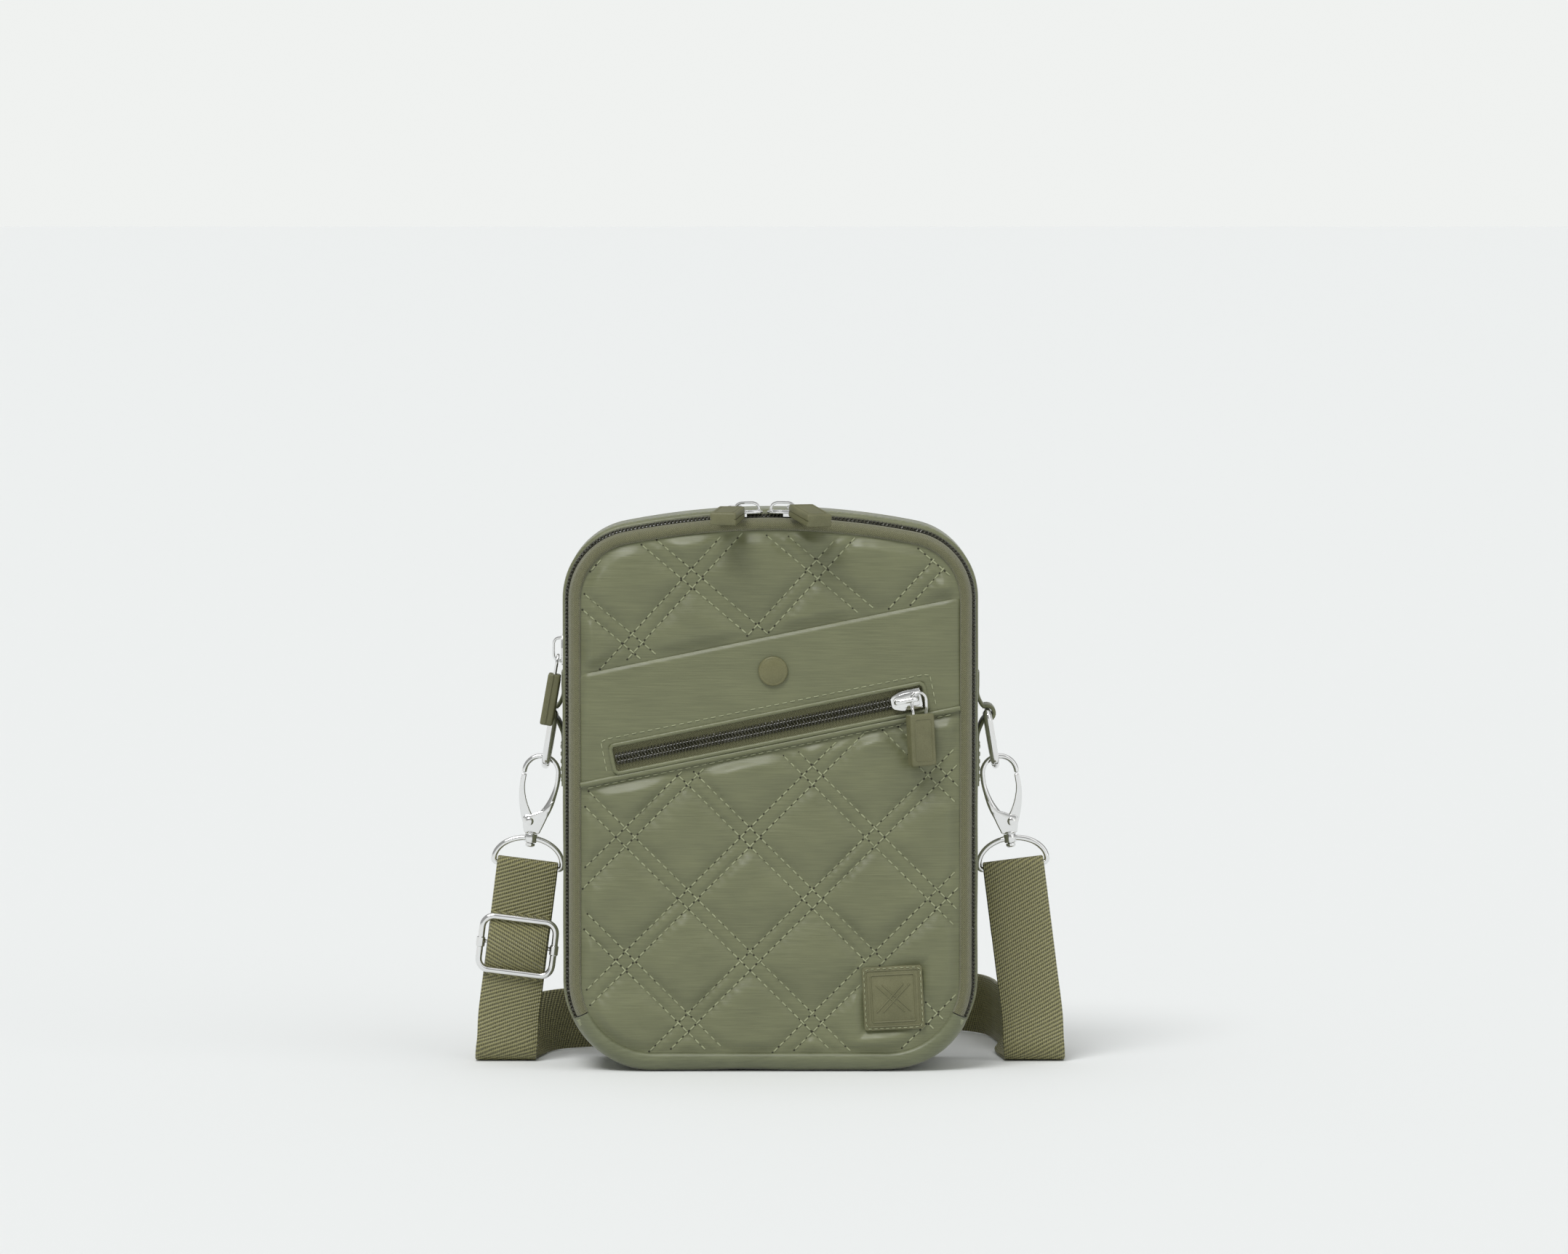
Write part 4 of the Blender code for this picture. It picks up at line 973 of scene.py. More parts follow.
@dataclass(frozen=True)
class QuiltedPanel:
    """One quilted panel of the cover, between an upper and a lower edge."""

    name: str
    node: str
    lattice: Lattice
    above_band: bool
    seed: int
    inset: float = 6.9
    valley: float = -18.75
    swell: float = 2.9
    fullest: float = -21.9
    back_y: float = -17.95
    cell: float = 0.85

    def edges(self, x: Array) -> tuple[Array, Array]:
        """The heights between which the panel shows, at places across."""
        if self.above_band:
            return BAND.top_z - 2.5 + x * BAND.slope, OUTLINE.upper(x, self.inset)
        return OUTLINE.lower(x, self.inset), BAND.bottom_z - 1.6 + x * BAND.slope

    def surface(self, x: Array, z: Array) -> Array:
        """The depth of the panel's face."""
        wide = Crumple(self.seed, 16.0)
        fine = Crumple(self.seed + 1, 6.0)
        quilt = self.lattice.height(x, z)
        edge = step_between(OUTLINE.depth(x, z), self.inset, self.inset + 5.5)
        line = BAND.top_z if self.above_band else BAND.bottom_z - 2.4
        away = np.abs(z - line - x * BAND.slope)
        edge = edge * (0.03 + 0.97 * step_between(away, 0.3, 6.0))
        pressed = step_between(PATCH.beside(x, z), -0.5, 4.0) if not self.above_band else 1.0
        loose = wide.at(x, z * 1.3) * 0.17 + fine.at(x * 1.4, z) * 0.045
        height = (quilt + loose * np.clip(quilt * 1.5, 0, 1)) * edge
        depth = self.valley - self.swell * height * pressed
        if not self.above_band:
            depth = depth - 0.45 * (1 - pressed)
        return np.maximum(depth + (1 - edge) * 0.35, self.fullest)

    def build(self) -> None:
        """Makes the padded panel, its thread and dark domes of painted shade at its needle holes."""
        half = OUTLINE.half - self.inset
        u = np.linspace(-1, 1, int(2 * half / self.cell))
        x = half * (0.8 * u + 0.2 * np.sin(math.pi / 2 * u))
        low, high = self.edges(x)
        tallest = float((high - low).max())
        v = np.linspace(0, 1, int(tallest / self.cell))
        z = low[:, None] + (high - low)[:, None] * v[None, :]
        wide = np.broadcast_to(x[:, None], z.shape)
        face = np.stack([wide, self.surface(wide, z), z], -1)
        shape = Shape().tray(face, self.back_y)
        panel = weld(shape.piece(self.name, Finish.NYLON, "cover", [self.node], 70.0))
        self.sew()

    def sew(self) -> None:
        """Lays every stitch of the quilting that falls on the panel."""
        starts, ends = [], []
        for first, last in self.lattice.rows():
            keep = np.ones(len(first), bool)
            for spot in (first, last):
                inside = OUTLINE.depth(spot[:, 0], spot[:, 1]) > 7.8
                line = spot[:, 1] - spot[:, 0] * BAND.slope
                beyond = line > BAND.top_z + 0.6 if self.above_band else line < BAND.bottom_z - 3.4
                clear = PATCH.beside(spot[:, 0], spot[:, 1]) > 0.3
                keep &= inside & beyond & clear
            starts.append(first[keep])
            ends.append(last[keep])
        flat = [np.vstack(starts), np.vstack(ends)]
        lifted = [np.stack([p[:, 0], self.surface(p[:, 0], p[:, 1]), p[:, 1]], 1) for p in flat]
        out = np.tile([0.0, -1.0, 0.0], (len(flat[0]), 1))
        Shape().stitches(lifted[0], lifted[1], out).piece(self.name + "_stitches", Finish.THREAD, "cover")
        # Painted shade: dark domes sunk just under the cloth's face at each needle hole, where the thread
        # dips in.
        way = flat[1] - flat[0]
        holes = flat[0] - way / np.linalg.norm(way, axis=1)[:, None] * self.lattice.pitch * 0.12
        depth = self.surface(holes[:, 0], holes[:, 1]) - 0.14
        centres = np.stack([holes[:, 0], depth, holes[:, 1]], 1)
        Shape().lay_shade_domes(centres, out).piece(self.name + "_needle_hole_shade", Finish.NEEDLE_HOLE_SHADE, "cover")


@dataclass(frozen=True)
class PocketBand:
    """The plain band over the slip pocket, the window for its zip, and the piping below it."""

    def face(self, x: Array, z: Array, up: Array) -> Array:
        """The depth of the band's face."""
        soft = Crumple(31, 20.0)
        rolled = step_between(up, BAND.top_up - 2.2, BAND.top_up + 0.2)
        edge = step_between(OUTLINE.depth(x, z), 6.9, 10.5)
        crown = 0.55 * np.sin(np.clip((up - 5.6) / 30.0, 0, 1) * math.pi)
        snap = np.hypot(x - 1.1, z - 158.6)
        dimple = 0.55 * np.exp(-((np.maximum(snap - 4.5, 0) / 4.0) ** 2))
        top = -19.75 - (crown + soft.at(x * 0.6, z) * 0.16) * edge + dimple
        return np.minimum(top + rolled**2 * 0.9, -18.4) + (1 - edge) * 1.1

    def build(self) -> None:
        """Makes the band, the window's lips, the topstitching and the piping."""
        self.cloth()
        self.lips()
        self.topstitch()
        self.piping()

    def cloth(self) -> None:
        """The band itself, open at the zip's window."""
        below = [-6.2, -5.9, -BAND.window_half]
        rolled = BAND.top_up - np.array([1.9, 1.2, 0.6, 0.2, 0])
        ups = np.concatenate([below, np.linspace(BAND.window_half, BAND.top_up - 2.6, 26), rolled])
        turn = math.sin(math.radians(BAND.angle))
        half = OUTLINE.half - 6.9
        n_end, n_mid = 12, 112
        rows = []
        for up in ups:
            left = np.linspace(-half + up * turn, BAND.window[0], n_end, endpoint=False)
            middle = np.linspace(BAND.window[0], BAND.window[1], n_mid, endpoint=False)
            right = np.linspace(BAND.window[1], half + up * turn, n_end)
            s = np.concatenate([left, middle, right])
            x, z = BAND.xz(s, up)
            rows.append(np.stack([x, self.face(x, z, np.full(len(x), up)), z], -1))
        rows_array = np.array(rows)
        front = Shape()
        strips = [(rows_array[:3], 0, None), (rows_array[3:], 0, None)]
        strips += [(rows_array[2:4], 0, n_end + 1), (rows_array[2:4], n_end + n_mid, None)]
        for strip, first, last in strips:
            front.grid(strip[:, first:last])
        band = front.piece("pocket_band_cloth", Finish.NYLON, "cover", ["pocket_band"], 60.0)
        weld(band)
        thick = band.modifiers.new("thickness", "SOLIDIFY")
        thick.thickness = 0.6 * MM
        thick.offset = -1.0
        self.face_forward(band)

    @staticmethod
    def face_forward(obj: bpy.types.Object) -> None:
        """Turns an open cloth's faces towards the front."""
        work = bmesh.new()
        work.from_mesh(obj.data)
        if sum(face.normal.y * face.calc_area() for face in work.faces) > 0:
            bmesh.ops.reverse_faces(work, faces=work.faces)
        work.to_mesh(obj.data)
        work.free()

    def lips(self) -> None:
        """The folded lip round the window."""
        left, right = BAND.window
        half = BAND.window_half
        corners = [(left + 1.2, -half), (right - 1.2, -half), (right, -half + 1.2), (right, half - 1.2)]
        corners += [(right - 1.2, half), (left + 1.2, half), (left, half - 1.2), (left, -half + 1.2)]
        spots = even(np.vstack([corners, corners[:1]]).astype(float), 1.1, True)
        path = BAND.path(spots, -19.75)
        shape = Shape().wire(path, 0.85, 10, True)
        shape.piece("zip_window_lip", Finish.NYLON, "cover")

    def topstitch(self) -> None:
        """The stitches round the window and below the piping."""
        shape = Shape()
        left, right = BAND.window
        corners = np.array([(left - 3.0, -4.6), (left - 3.0, 8.6), (right + 3.2, 8.6), (right + 3.2, -4.6)])
        spots = even(corners, 3.1)
        ahead = spots[1:] - spots[:-1]
        starts = spots[:-1] + ahead * 0.12
        ends = spots[:-1] + ahead * 0.85
        lifted = []
        for group in (starts, ends):
            x, z = BAND.xz(group[:, 0], group[:, 1])
            lifted.append(np.stack([x, self.face(x, z, group[:, 1]) - 0.02, z], 1))
        out = np.tile([0.0, -1.0, 0.0], (len(starts), 1))
        shape.stitches(lifted[0], lifted[1], out, 0.20)
        x = np.arange(-72.0, 72.0, 3.2)
        z = BAND.bottom_z - 3.0 + x * BAND.slope
        lower = np.stack([x, np.full(len(x), -19.15), z], 1)
        reach = np.array([2.3, 0.0, 2.3 * BAND.slope])
        shape.stitches(lower, lower + reach, np.tile([0.0, -1.0, 0.0], (len(x), 1)), 0.20)
        shape.piece("band_topstitches", Finish.THREAD, "cover")

    def piping(self) -> None:
        """The rounded piping along the band's lower edge."""
        soft = Crumple(47, 25.0)
        x = np.linspace(-74.6, 74.6, 110)
        z = BAND.bottom_z - 1.3 + x * BAND.slope + soft.at(x, 0 * x) * 0.12
        radius = 1.2 + soft.at(x * 1.7, 0 * x) * 0.05
        edge = step_between(np.abs(x), 71.0, 75.0)
        path = np.stack([x, -19.2 + edge * 0.5, z], 1)
        shape = Shape().wire(path, radius, 12)
        shape.piece("band_piping_cord", Finish.NYLON, "cover", ["band_piping"])


@dataclass(frozen=True)
class SnapCap:
    """The snap's rubber-covered cap."""

    centre: tuple[float, float] = (1.1, 158.6)

    def build(self) -> None:
        """Makes the cap."""
        place = Matrix.Translation((self.centre[0], 0, self.centre[1]))
        place = place @ Matrix.Rotation(math.pi / 2, 4, "X")
        profile = [(5.2, 19.6), (5.75, 19.9), (5.85, 20.4), (5.7, 20.9), (5.35, 21.2), (5.0, 21.25)]
        profile += [(4.8, 21.2), (4.4, 21.32), (3.4, 21.55), (2.0, 21.7), (0.8, 21.75)]
        shape = Shape().lathe(profile, place, 56)
        shape.piece("snap_cap_dome", Finish.CAP, "cover", ["snap_cap"], 30.0)


# ---- zips ----
@dataclass(frozen=True)
class Coil:
    """A zip's sewn coil: a wire wound along the edge of its tape."""

    pitch: float = 1.6
    wide: float = 0.82
    high: float = 0.74
    wire: float = 0.27
    sides: int = 6

    def wind(self, shape: Shape, path: Array, across: Array, up: Array, start: float) -> Shape:
        """Winds the coil along a path.

        Args:
            shape: gathers the wire.
            path: evenly spaced points along the coil's middle.
            across: the direction of its width at each point.
            up: the direction of its height at each point.
            start: how far round it begins, in turns.

        Returns:
            The shape.
        """
        run = run_along(path)
        steps = int(run[-1] / self.pitch * 9)
        where = np.linspace(0, run[-1], steps)
        tables = (path, across, up)
        middle, side, rise = (np.stack([np.interp(where, run, t[:, k]) for k in range(3)], 1) for t in tables)
        turn = 2 * math.pi * (where / self.pitch + start)
        line = middle + side * (np.cos(turn) * self.wide)[:, None]
        line = line + rise * (np.sin(turn) * self.high)[:, None]
        return shape.wire(line, self.wire, self.sides)


@dataclass(frozen=True)
class MainZip:
    """The zip round the top and sides: a tape and half the coil on the cover, the rest on the body."""

    middle_y: float = -12.85
    end_angle: float = -25.0

    def places(self, step: float = 1.2) -> Array:
        """Distances along the outline from one end of the zip to the other."""
        start = OUTLINE.zip_start(self.end_angle)
        length = OUTLINE.length
        return np.linspace(start, length - start, int((length - 2 * start) / step))

    def strip(self, name: str, section: Sequence[tuple[float, float]], body: str, node: str) -> None:
        """Makes a tape from its section's insets and depths."""
        places = self.places()
        rows = np.stack([OUTLINE.rail(places, inset, y) for inset, y in section], 1)
        shape = Shape().grid(rows, False, True, True, (np.append(places, places[-1]), run_round(section)))
        shape.piece(name, Finish.TAPE, body, [node], 50.0)

    def build(self) -> None:
        """Makes both tapes and both halves of the coil."""
        front = [(7.35, -18.6), (7.0, -19.25), (6.2, -19.7), (5.2, -19.75), (4.3, -19.4), (3.5, -18.7)]
        front += [(2.9, -17.7), (2.55, -16.6), (2.45, -15.7), (3.2, -15.6), (3.6, -16.6), (4.4, -17.6)]
        front += [(7.3, -17.95)]
        self.strip("cover_zip_tape", front, "cover", "main_zip_tape_cover")
        rear = [(2.45, -10.2), (2.3, -9.0), (2.45, -7.8), (3.2, -7.8), (3.2, -10.2)]
        self.strip("body_zip_tape", rear, "bag", "main_zip_tape_body")
        places = self.places(0.8)
        out = OUTLINE.outward(places)
        across = np.tile([0.0, 1.0, 0.0], (len(places), 1))
        for name, y, body, node, start in (
            ("cover_zip_teeth", self.middle_y - 1.25, "cover", "main_zip_coil_cover", 0.0),
            ("body_zip_teeth", self.middle_y + 1.25, "bag", "main_zip_coil_body", 0.5),
        ):
            path = OUTLINE.rail(places, 2.1, y)
            shape = Coil(1.5, 1.05, 0.80, 0.38).wind(Shape(), path, across, out, start)
            cord = OUTLINE.rail(self.places(2.0), 2.25, y)
            shape.wire(cord, 0.46, 6)
            shape.piece(name, Finish.COIL, body, [node])


@dataclass(frozen=True)
class FrontZip:
    """The pocket's zip in the band's window."""

    def build(self) -> None:
        """Makes the tape and the closed coil."""
        left, right = BAND.window[0] + 0.3, BAND.window[1] - 0.3
        s = np.linspace(left, right, 110)
        ups = np.array([-5.5, -4.0, -2.6, 2.6, 4.0, 5.5])
        depth = np.array([-19.05, -18.85, -18.78, -18.78, -18.85, -19.05])
        face = []
        for up, y in zip(ups, depth):
            face.append(BAND.path(np.stack([s, np.full(len(s), up)], 1), y))
        back = [row + np.array([0, 0.25, 0]) for row in reversed(face)]
        rows = np.stack(face + back, 1)
        around = np.concatenate([ups, ups[::-1], ups[:1]])
        shape = Shape().grid(rows, False, True, True, (np.append(s, s[-1]), around))
        shape.piece("pocket_zip_tape", Finish.TAPE, "cover", ["front_zip_tape"], 50.0)
        turn = math.radians(BAND.angle)
        shape = Shape()
        up_way = np.array([-math.sin(turn), 0, math.cos(turn)])
        for up, start in ((-1.15, 0.0), (1.15, 0.5)):
            path = BAND.path(np.stack([s[1:-1], np.full(len(s) - 2, up)], 1), -19.55)
            across = np.tile(up_way, (len(path), 1))
            out = np.tile([0.0, -1.0, 0.0], (len(path), 1))
            Coil(1.30, 1.12, 0.48, 0.36).wind(shape, path, across, out, start)
            shape.wire(path[::4] + np.array([0, 0.1, 0]), 0.30, 6)
        shape.piece("pocket_zip_teeth", Finish.COIL, "cover", ["front_zip_coil"])


@dataclass(frozen=True)
class SecondZip:
    """The second compartment's zip, sunk in the gusset over the top."""

    middle_y: float = 1.1
    end_z: float = 150.3

    def build(self) -> None:
        """Makes its tape and its coil."""
        start = OUTLINE.side_length(self.end_z)
        places = np.linspace(start, OUTLINE.length - start, 230)
        section = [(2.9, -3.3), (3.05, -1.5), (3.05, 3.7), (2.9, 5.5), (3.7, 5.5), (3.7, -3.3)]
        rows = np.stack([OUTLINE.rail(places, inset, y) for inset, y in section], 1)
        shape = Shape().grid(rows, False, True, True, (np.append(places, places[-1]), run_round(section)))
        shape.piece("gusset_zip_tape", Finish.TAPE, "bag", ["second_zip_tape"], 50.0)
        out = OUTLINE.outward(places)
        across = np.tile([0.0, 1.0, 0.0], (len(places), 1))
        shape = Shape()
        for shift, turn in ((-1.15, 0.0), (1.15, 0.5)):
            path = OUTLINE.rail(places, 1.75, self.middle_y + shift)
            Coil(1.5, 1.1, 0.72, 0.38).wind(shape, path, across, out, turn)
            shape.wire(path[::3], 0.42, 6)
        shape.piece("gusset_zip_teeth", Finish.COIL, "bag", ["second_zip_coil"])


# ---- the bag's body ----
@dataclass(frozen=True)
class Body:
    """Binding, gussets and back of the bag."""

    def build(self) -> None:
        """Makes the soft parts of the body and dresses the linings."""
        self.binding()
        self.front_gusset()
        self.rear_gusset()
        self.back()
        for node in ("cover_lining", "quilt_wadding", "divider_panel"):
            dress(node, Finish.LINING)
        for node in ("snap_socket", "snap_stud"):
            dress(node, Finish.CHROME)

    def binding(self) -> None:
        """The nylon facing that wraps the bottom edge between the ends of the main zip."""
        start = OUTLINE.zip_start(-25.8)
        length = OUTLINE.length
        places = np.linspace(-start, start, 190)
        section = [(7.6, -18.0), (7.2, -19.0), (6.2, -19.6), (4.8, -19.7), (3.3, -19.1), (1.9, -17.9)]
        section += [(0.9, -16.4), (0.3, -14.4), (0.1, -12.0), (0.1, -9.6), (0.5, -7.8)]
        section += [(4.8, -7.8), (5.2, -12.0)]
        ends = step_between(np.abs(places), start - 4.0, start)
        soft = Crumple(71, 22.0)
        rows = []
        for inset, y in section:
            wave = soft.at(places, np.full(len(places), y * 2)) * 0.28 * (inset < 3.5)
            flat = np.maximum(inset + wave * (1 - ends) + ends * 0.4, 0.05)
            if inset > 4.5:
                flat = np.full(len(places), inset)
            rows.append(OUTLINE.rail(np.mod(places, length), flat, y))
        uv = (np.append(places, places[-1]), run_round(section))
        shape = Shape().grid(np.stack(rows, 1), False, True, True, uv)
        shape.piece("bottom_binding_cloth", Finish.BINDING, "bag", ["bottom_binding"], 50.0)
        tacks = Shape()
        for side in (-1, 1):
            for k in range(5):
                at = np.array([side * (start - 1.2 - 0.55 * k)])
                a = OUTLINE.rail(np.mod(at, length), 5.6, -19.72)
                b = OUTLINE.rail(np.mod(at, length), 1.5, -17.4)
                tacks.stitches(a, b, np.array([[0.25 * side, -0.95, 0.1]]), 0.2)
        tacks.piece("binding_tacks", Finish.THREAD, "bag")

    @staticmethod
    def fit(places: Array) -> Array:
        """How free the gusset is to swell: 0 beside the fittings' tabs and 1 well away from them."""
        points, _ = OUTLINE.at(places)
        near = (np.abs(points[:, 0]) > 70) & (points[:, 1] > 60)
        below = step_between(points[:, 1], 158.0, 172.0)
        low = 1 - step_between(points[:, 1], 92.0, 106.0)
        return np.where(near, np.maximum(below, low), 1.0)

    def front_gusset(self) -> None:
        """The narrow gusset between the two zips."""
        length = OUTLINE.length
        places = np.linspace(0, length, 420, endpoint=False)
        soft = Crumple(81, 24.0)
        section = [(0.9, -7.45), (0.25, -6.9), (-0.1, -5.9), (-0.1, -5.2), (0.3, -4.3), (1.0, -3.75)]
        section += [(3.7, -3.75), (3.7, -7.45)]
        rows = []
        floor_free = step_between(OUTLINE.at(places)[0][:, 1], 0.5, 12.0)
        for inset, y in section:
            shift = 0.0 if inset > 3 else 0.7 * (1 - floor_free) + soft.at(places, 0 * places) * 0.12
            rows.append(OUTLINE.rail(places, inset + shift, y))
        uv = (np.append(places, length), run_round(section))
        shape = Shape().grid(np.stack(rows, 1), True, True, False, uv)
        shape.piece("front_gusset_cloth", Finish.NYLON, "bag", ["front_gusset"], 50.0)

    def rear_gusset(self) -> None:
        """The wide gusset behind, with its edge lower along the second zip."""
        length = OUTLINE.length
        zip_at = OUTLINE.side_length(149.7)
        places = np.sort(np.concatenate([np.linspace(0, length, 460, endpoint=False), [
            zip_at - 0.01, zip_at + 0.01, length - zip_at - 0.01, length - zip_at + 0.01]]))
        under = (places > zip_at) & (places < length - zip_at)
        first = np.where(under, 6.1, -3.3)
        points, _ = OUTLINE.at(places)
        floor_free = step_between(points[:, 1], 0.5, 16.0)
        free = self.fit(places)
        soft, fine = Crumple(91, 30.0), Crumple(92, 11.0)
        share = np.concatenate([[0, 0.012, 0.035], np.linspace(0.08, 0.95, 22), [0.975, 1.0]])
        rows = []
        for v in share:
            y = first + (36.2 - first) * v
            swell = 1.25 * math.sin(math.pi * min(1, v * 1.02)) ** 0.8 * free * floor_free
            swell = swell + (soft.at(places, y) * 0.30 + fine.at(places, y * 1.3) * 0.06) * free * floor_free
            swell = swell * math.sin(math.pi * v) ** 0.3 if 0 < v < 1 else 0 * places
            fold = 0.75 * (1 - min(1.0, v / 0.03)) ** 2 + 0.6 * max(0.0, (v - 0.96) / 0.04) ** 2
            inset = np.maximum(0.6 - swell + fold, 0.02 + 0.58 * (1 - floor_free))
            rows.append(OUTLINE.rail(places, inset, y))
        inner = [OUTLINE.rail(places, 3.6, y) for y in (first + (36.2 - first) * v for v in (1.0, 0.5, 0.0))]
        uv = (np.append(places, length), np.concatenate([share * 39.5, [43, 60, 78, 82]]))
        shape = Shape().grid(np.stack(rows + inner, 1), True, True, False, uv)
        shape.piece("rear_gusset_cloth", Finish.NYLON, "bag", ["rear_gusset"], 50.0)
        run = np.arange(zip_at + 2, length - zip_at - 2, 3.2)
        starts, ends = OUTLINE.rail(run, 0.35, 7.7), OUTLINE.rail(run + 2.3, 0.35, 7.7)
        seams = Shape().stitches(starts, ends, OUTLINE.outward(run), 0.2)
        seams.piece("gusset_topstitches", Finish.THREAD, "bag")

    def back(self) -> None:
        """The back panel, a little padded, with a hemmed slip pocket and a bound edge."""
        inset = 0.7
        half = OUTLINE.half - inset
        u = np.linspace(-1, 1, 120)
        x = half * (0.8 * u + 0.2 * np.sin(math.pi / 2 * u))
        low, high = OUTLINE.lower(x, inset), OUTLINE.upper(x, inset)
        z = low[:, None] + (high - low)[:, None] * np.linspace(0, 1, 150)[None, :]
        wide = np.broadcast_to(x[:, None], z.shape)
        soft = Crumple(55, 34.0)
        edge = step_between(OUTLINE.depth(wide, z), inset, 9.0)
        hem = step_between(z, 166.0, 166.5)
        level = 38.3 + (0.9 + soft.at(wide, z) * 0.30) * edge + 0.45 * (1 - hem) * edge
        level = level - 0.30 * np.exp(-(((z - 159.0) / 0.9) ** 2)) * edge
        face = np.stack([wide, level, z], -1)
        shape = Shape().tray(face, 36.45)
        panel = weld(shape.piece("back_panel_cloth", Finish.NYLON, "bag", ["back_panel"], 60.0))
        length = OUTLINE.length
        places = np.linspace(0, length, 400, endpoint=False)
        floor_free = step_between(OUTLINE.at(places)[0][:, 1], 0.5, 6.0)
        path = OUTLINE.rail(places, 1.3 + 0.3 * (1 - floor_free), 37.0)
        Shape().wire(path, 1.2, 10, True).piece("back_piping_cord", Finish.NYLON, "bag")
        starts = np.stack([np.arange(-76, 76, 3.2), np.full(48, 39.35), np.full(48, 159.0)], 1)
        out = np.tile([0.0, 1.0, 0.0], (len(starts), 1))
        seam = Shape().stitches(starts, starts + np.array([2.3, 0, 0]), out, 0.2)
        seam.piece("slip_pocket_stitches", Finish.THREAD, "bag")


def dress(node: str, finish: Finish) -> None:
    """Gives a frame node that stays in view its finish."""
    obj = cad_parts[node]
    obj.data.materials.clear()
    obj.data.materials.append(finish.material())


# ---- sliders and pulls ----
@dataclass(frozen=True)
class Slider:
    """A chromed zip slider: shaped plate, side walls and an arched bridge, its puller's end at +X."""

    length: float = 12.2
    width: float = 8.0
    bridge: tuple[float, float, float] = (10.0, 1.8, 0.9)
    bridge_top: float = 4.6

    def outline(self, inset: float) -> list[tuple[float, float]]:
        """The plate's outline inside its edge."""
        half, tip = self.width / 2 - inset, self.length / 2 - inset
        side = [(-tip, -half * 0.42), (-tip * 0.86, -half * 0.66), (-tip * 0.45, -half * 0.90)]
        side += [(-tip * 0.10, -half), (tip * 0.55, -half), (tip * 0.92, -half * 0.93), (tip, -half * 0.72)]
        return side + [(x, -y) for x, y in reversed(side)]

    def build(self, name: str, matrix: Matrix, body: str, walls: Sequence[int] = (-1, 1)) -> None:
        """Makes the slider.

        Args:
            name: the frame's node that it stands for.
            matrix: from the slider's own place to the bag's.
            body: the body that it rides on.
            walls: at which sides of the coil its walls stand.
        """
        shape = Shape()
        shape.solid(self.outline(0), 0.0, 0.85, matrix, 0.22)
        shape.solid(self.outline(1.1), 0.7, 1.15, matrix, 0.2)
        half = self.width / 2
        for side in walls:
            inner = side * (half - 0.8)
            wall = [(0.1, side * half), (5.9, side * half), (5.9, inner), (0.1, inner)]
            shape.solid(wall, -1.35, 0.5, matrix, 0.18)
        long, wide, thick = self.bridge
        top = self.bridge_top - thick / 2
        half_long = long / 2 - thick / 2
        arch = [(-half_long, 0.6), (-half_long, 2.0), (-half_long + 0.5, 3.3), (-half_long + 1.9, top - 0.1)]
        arch += [(-1.2, top), (1.2, top), (half_long - 1.9, top - 0.1), (half_long - 0.5, 3.3)]
        arch += [(half_long, 2.0), (half_long, 0.6)]
        path = smooth([(x, 0, z) for x, z in arch], 0.4)
        across = np.tile([0.0, 1.0, 0.0], (len(path), 1))
        shape.ribbon(path, across, wide, thick, matrix, crown=0.08)
        for end in (-1, 1):
            foot = [(end * (half_long + 0.75), -1.15), (end * (half_long - 0.75), -1.15)]
            foot += [(end * (half_long - 0.75), 1.15), (end * (half_long + 0.75), 1.15)]
            shape.solid(foot, 0.8, 1.5, matrix, 0.2)
        shape.piece(name + "_chrome", Finish.CHROME, body, [name], 42.0)


@dataclass(frozen=True)
class Pull:
    """A moulded rubber pull on a chromed wire loop, with a plain sunk field on its face."""

    width: float = 10.4
    thick: float = 5.0
    length: float = 20.4

    def section(self, shrink: float) -> list[tuple[float, float]]:
        """The pull's outline seen from its end, with the groove between its two layers."""
        hx, hy, r = self.width / 2 - shrink, self.thick / 2 - shrink, 0.75
        groove = [(hx, -0.28), (hx - 0.35, -0.16), (hx - 0.35, 0.16), (hx, 0.28)]
        right = bend((hx - r, -hy + r), r, -90, 0, 4) + groove
        right += bend((hx - r, hy - r), r, 0, 90, 4)
        left = [(-x, y) for x, y in reversed(right)]
        return right + left

    def build(
        self, name: str, loop: str, hang: Matrix, drop: Matrix, body: str, reach: float, twist: float,
    ) -> None:
        """Makes the pull and its loop.

        Args:
            name: the frame's node for the pull.
            loop: the frame's node for the loop.
            hang: the place of the loop's apex.
            drop: the pull's place from the ends of the loop's legs.
            body: the body that both ride on.
            reach: the loop's length.
            twist: the turn of the loop's legs at their ends, in radians.
        """
        place = hang @ Matrix.Translation((0, 0, -reach - 0.6)) @ drop
        shape = Shape()
        levels = [(0.0, 0.62), (-0.12, 0.28), (-0.4, 0.08), (-0.85, 0.0)]
        levels += [(-self.length * k / 6, 0.0) for k in range(1, 6)]
        levels += [(-self.length - z, s) for z, s in reversed(levels[:4])]
        rows = np.array([[(x, y, z) for x, y in self.section(s)] for z, s in levels])
        shape.grid(rows, False, True, True, None, place)
        field = rounded_box(3.7, 8.2, 1.0, 4, (0.0, -self.length / 2))
        ring = np.array([(x, -self.thick / 2 + 0.02, z) for x, z in field])
        shape.wire(even(np.vstack([ring, ring[:1]]), 0.8, True), 0.20, 8, True, place)
        shape.piece(name + "_moulding", Finish.RUBBER, body, [name], 35.0)
        half = 2.8
        flat = [(half, -reach - 2.2), (half, -reach), (half, -(reach + half) / 2)]
        flat += [(x, z - half) for x, z in bend((0, 0), half, 0, 180, 14)]
        flat += [(-x, z) for x, z in reversed(flat[:3])]
        points = []
        for x, z in flat:
            turn = twist * min(1.0, abs(z) / reach) ** 4
            points.append((x * math.cos(turn), x * math.sin(turn), z))
        wire = Shape().wire(smooth(points, 0.5), 0.6, 14, False, hang)
        wire.piece(loop + "_wire", Finish.CHROME, body, [loop])


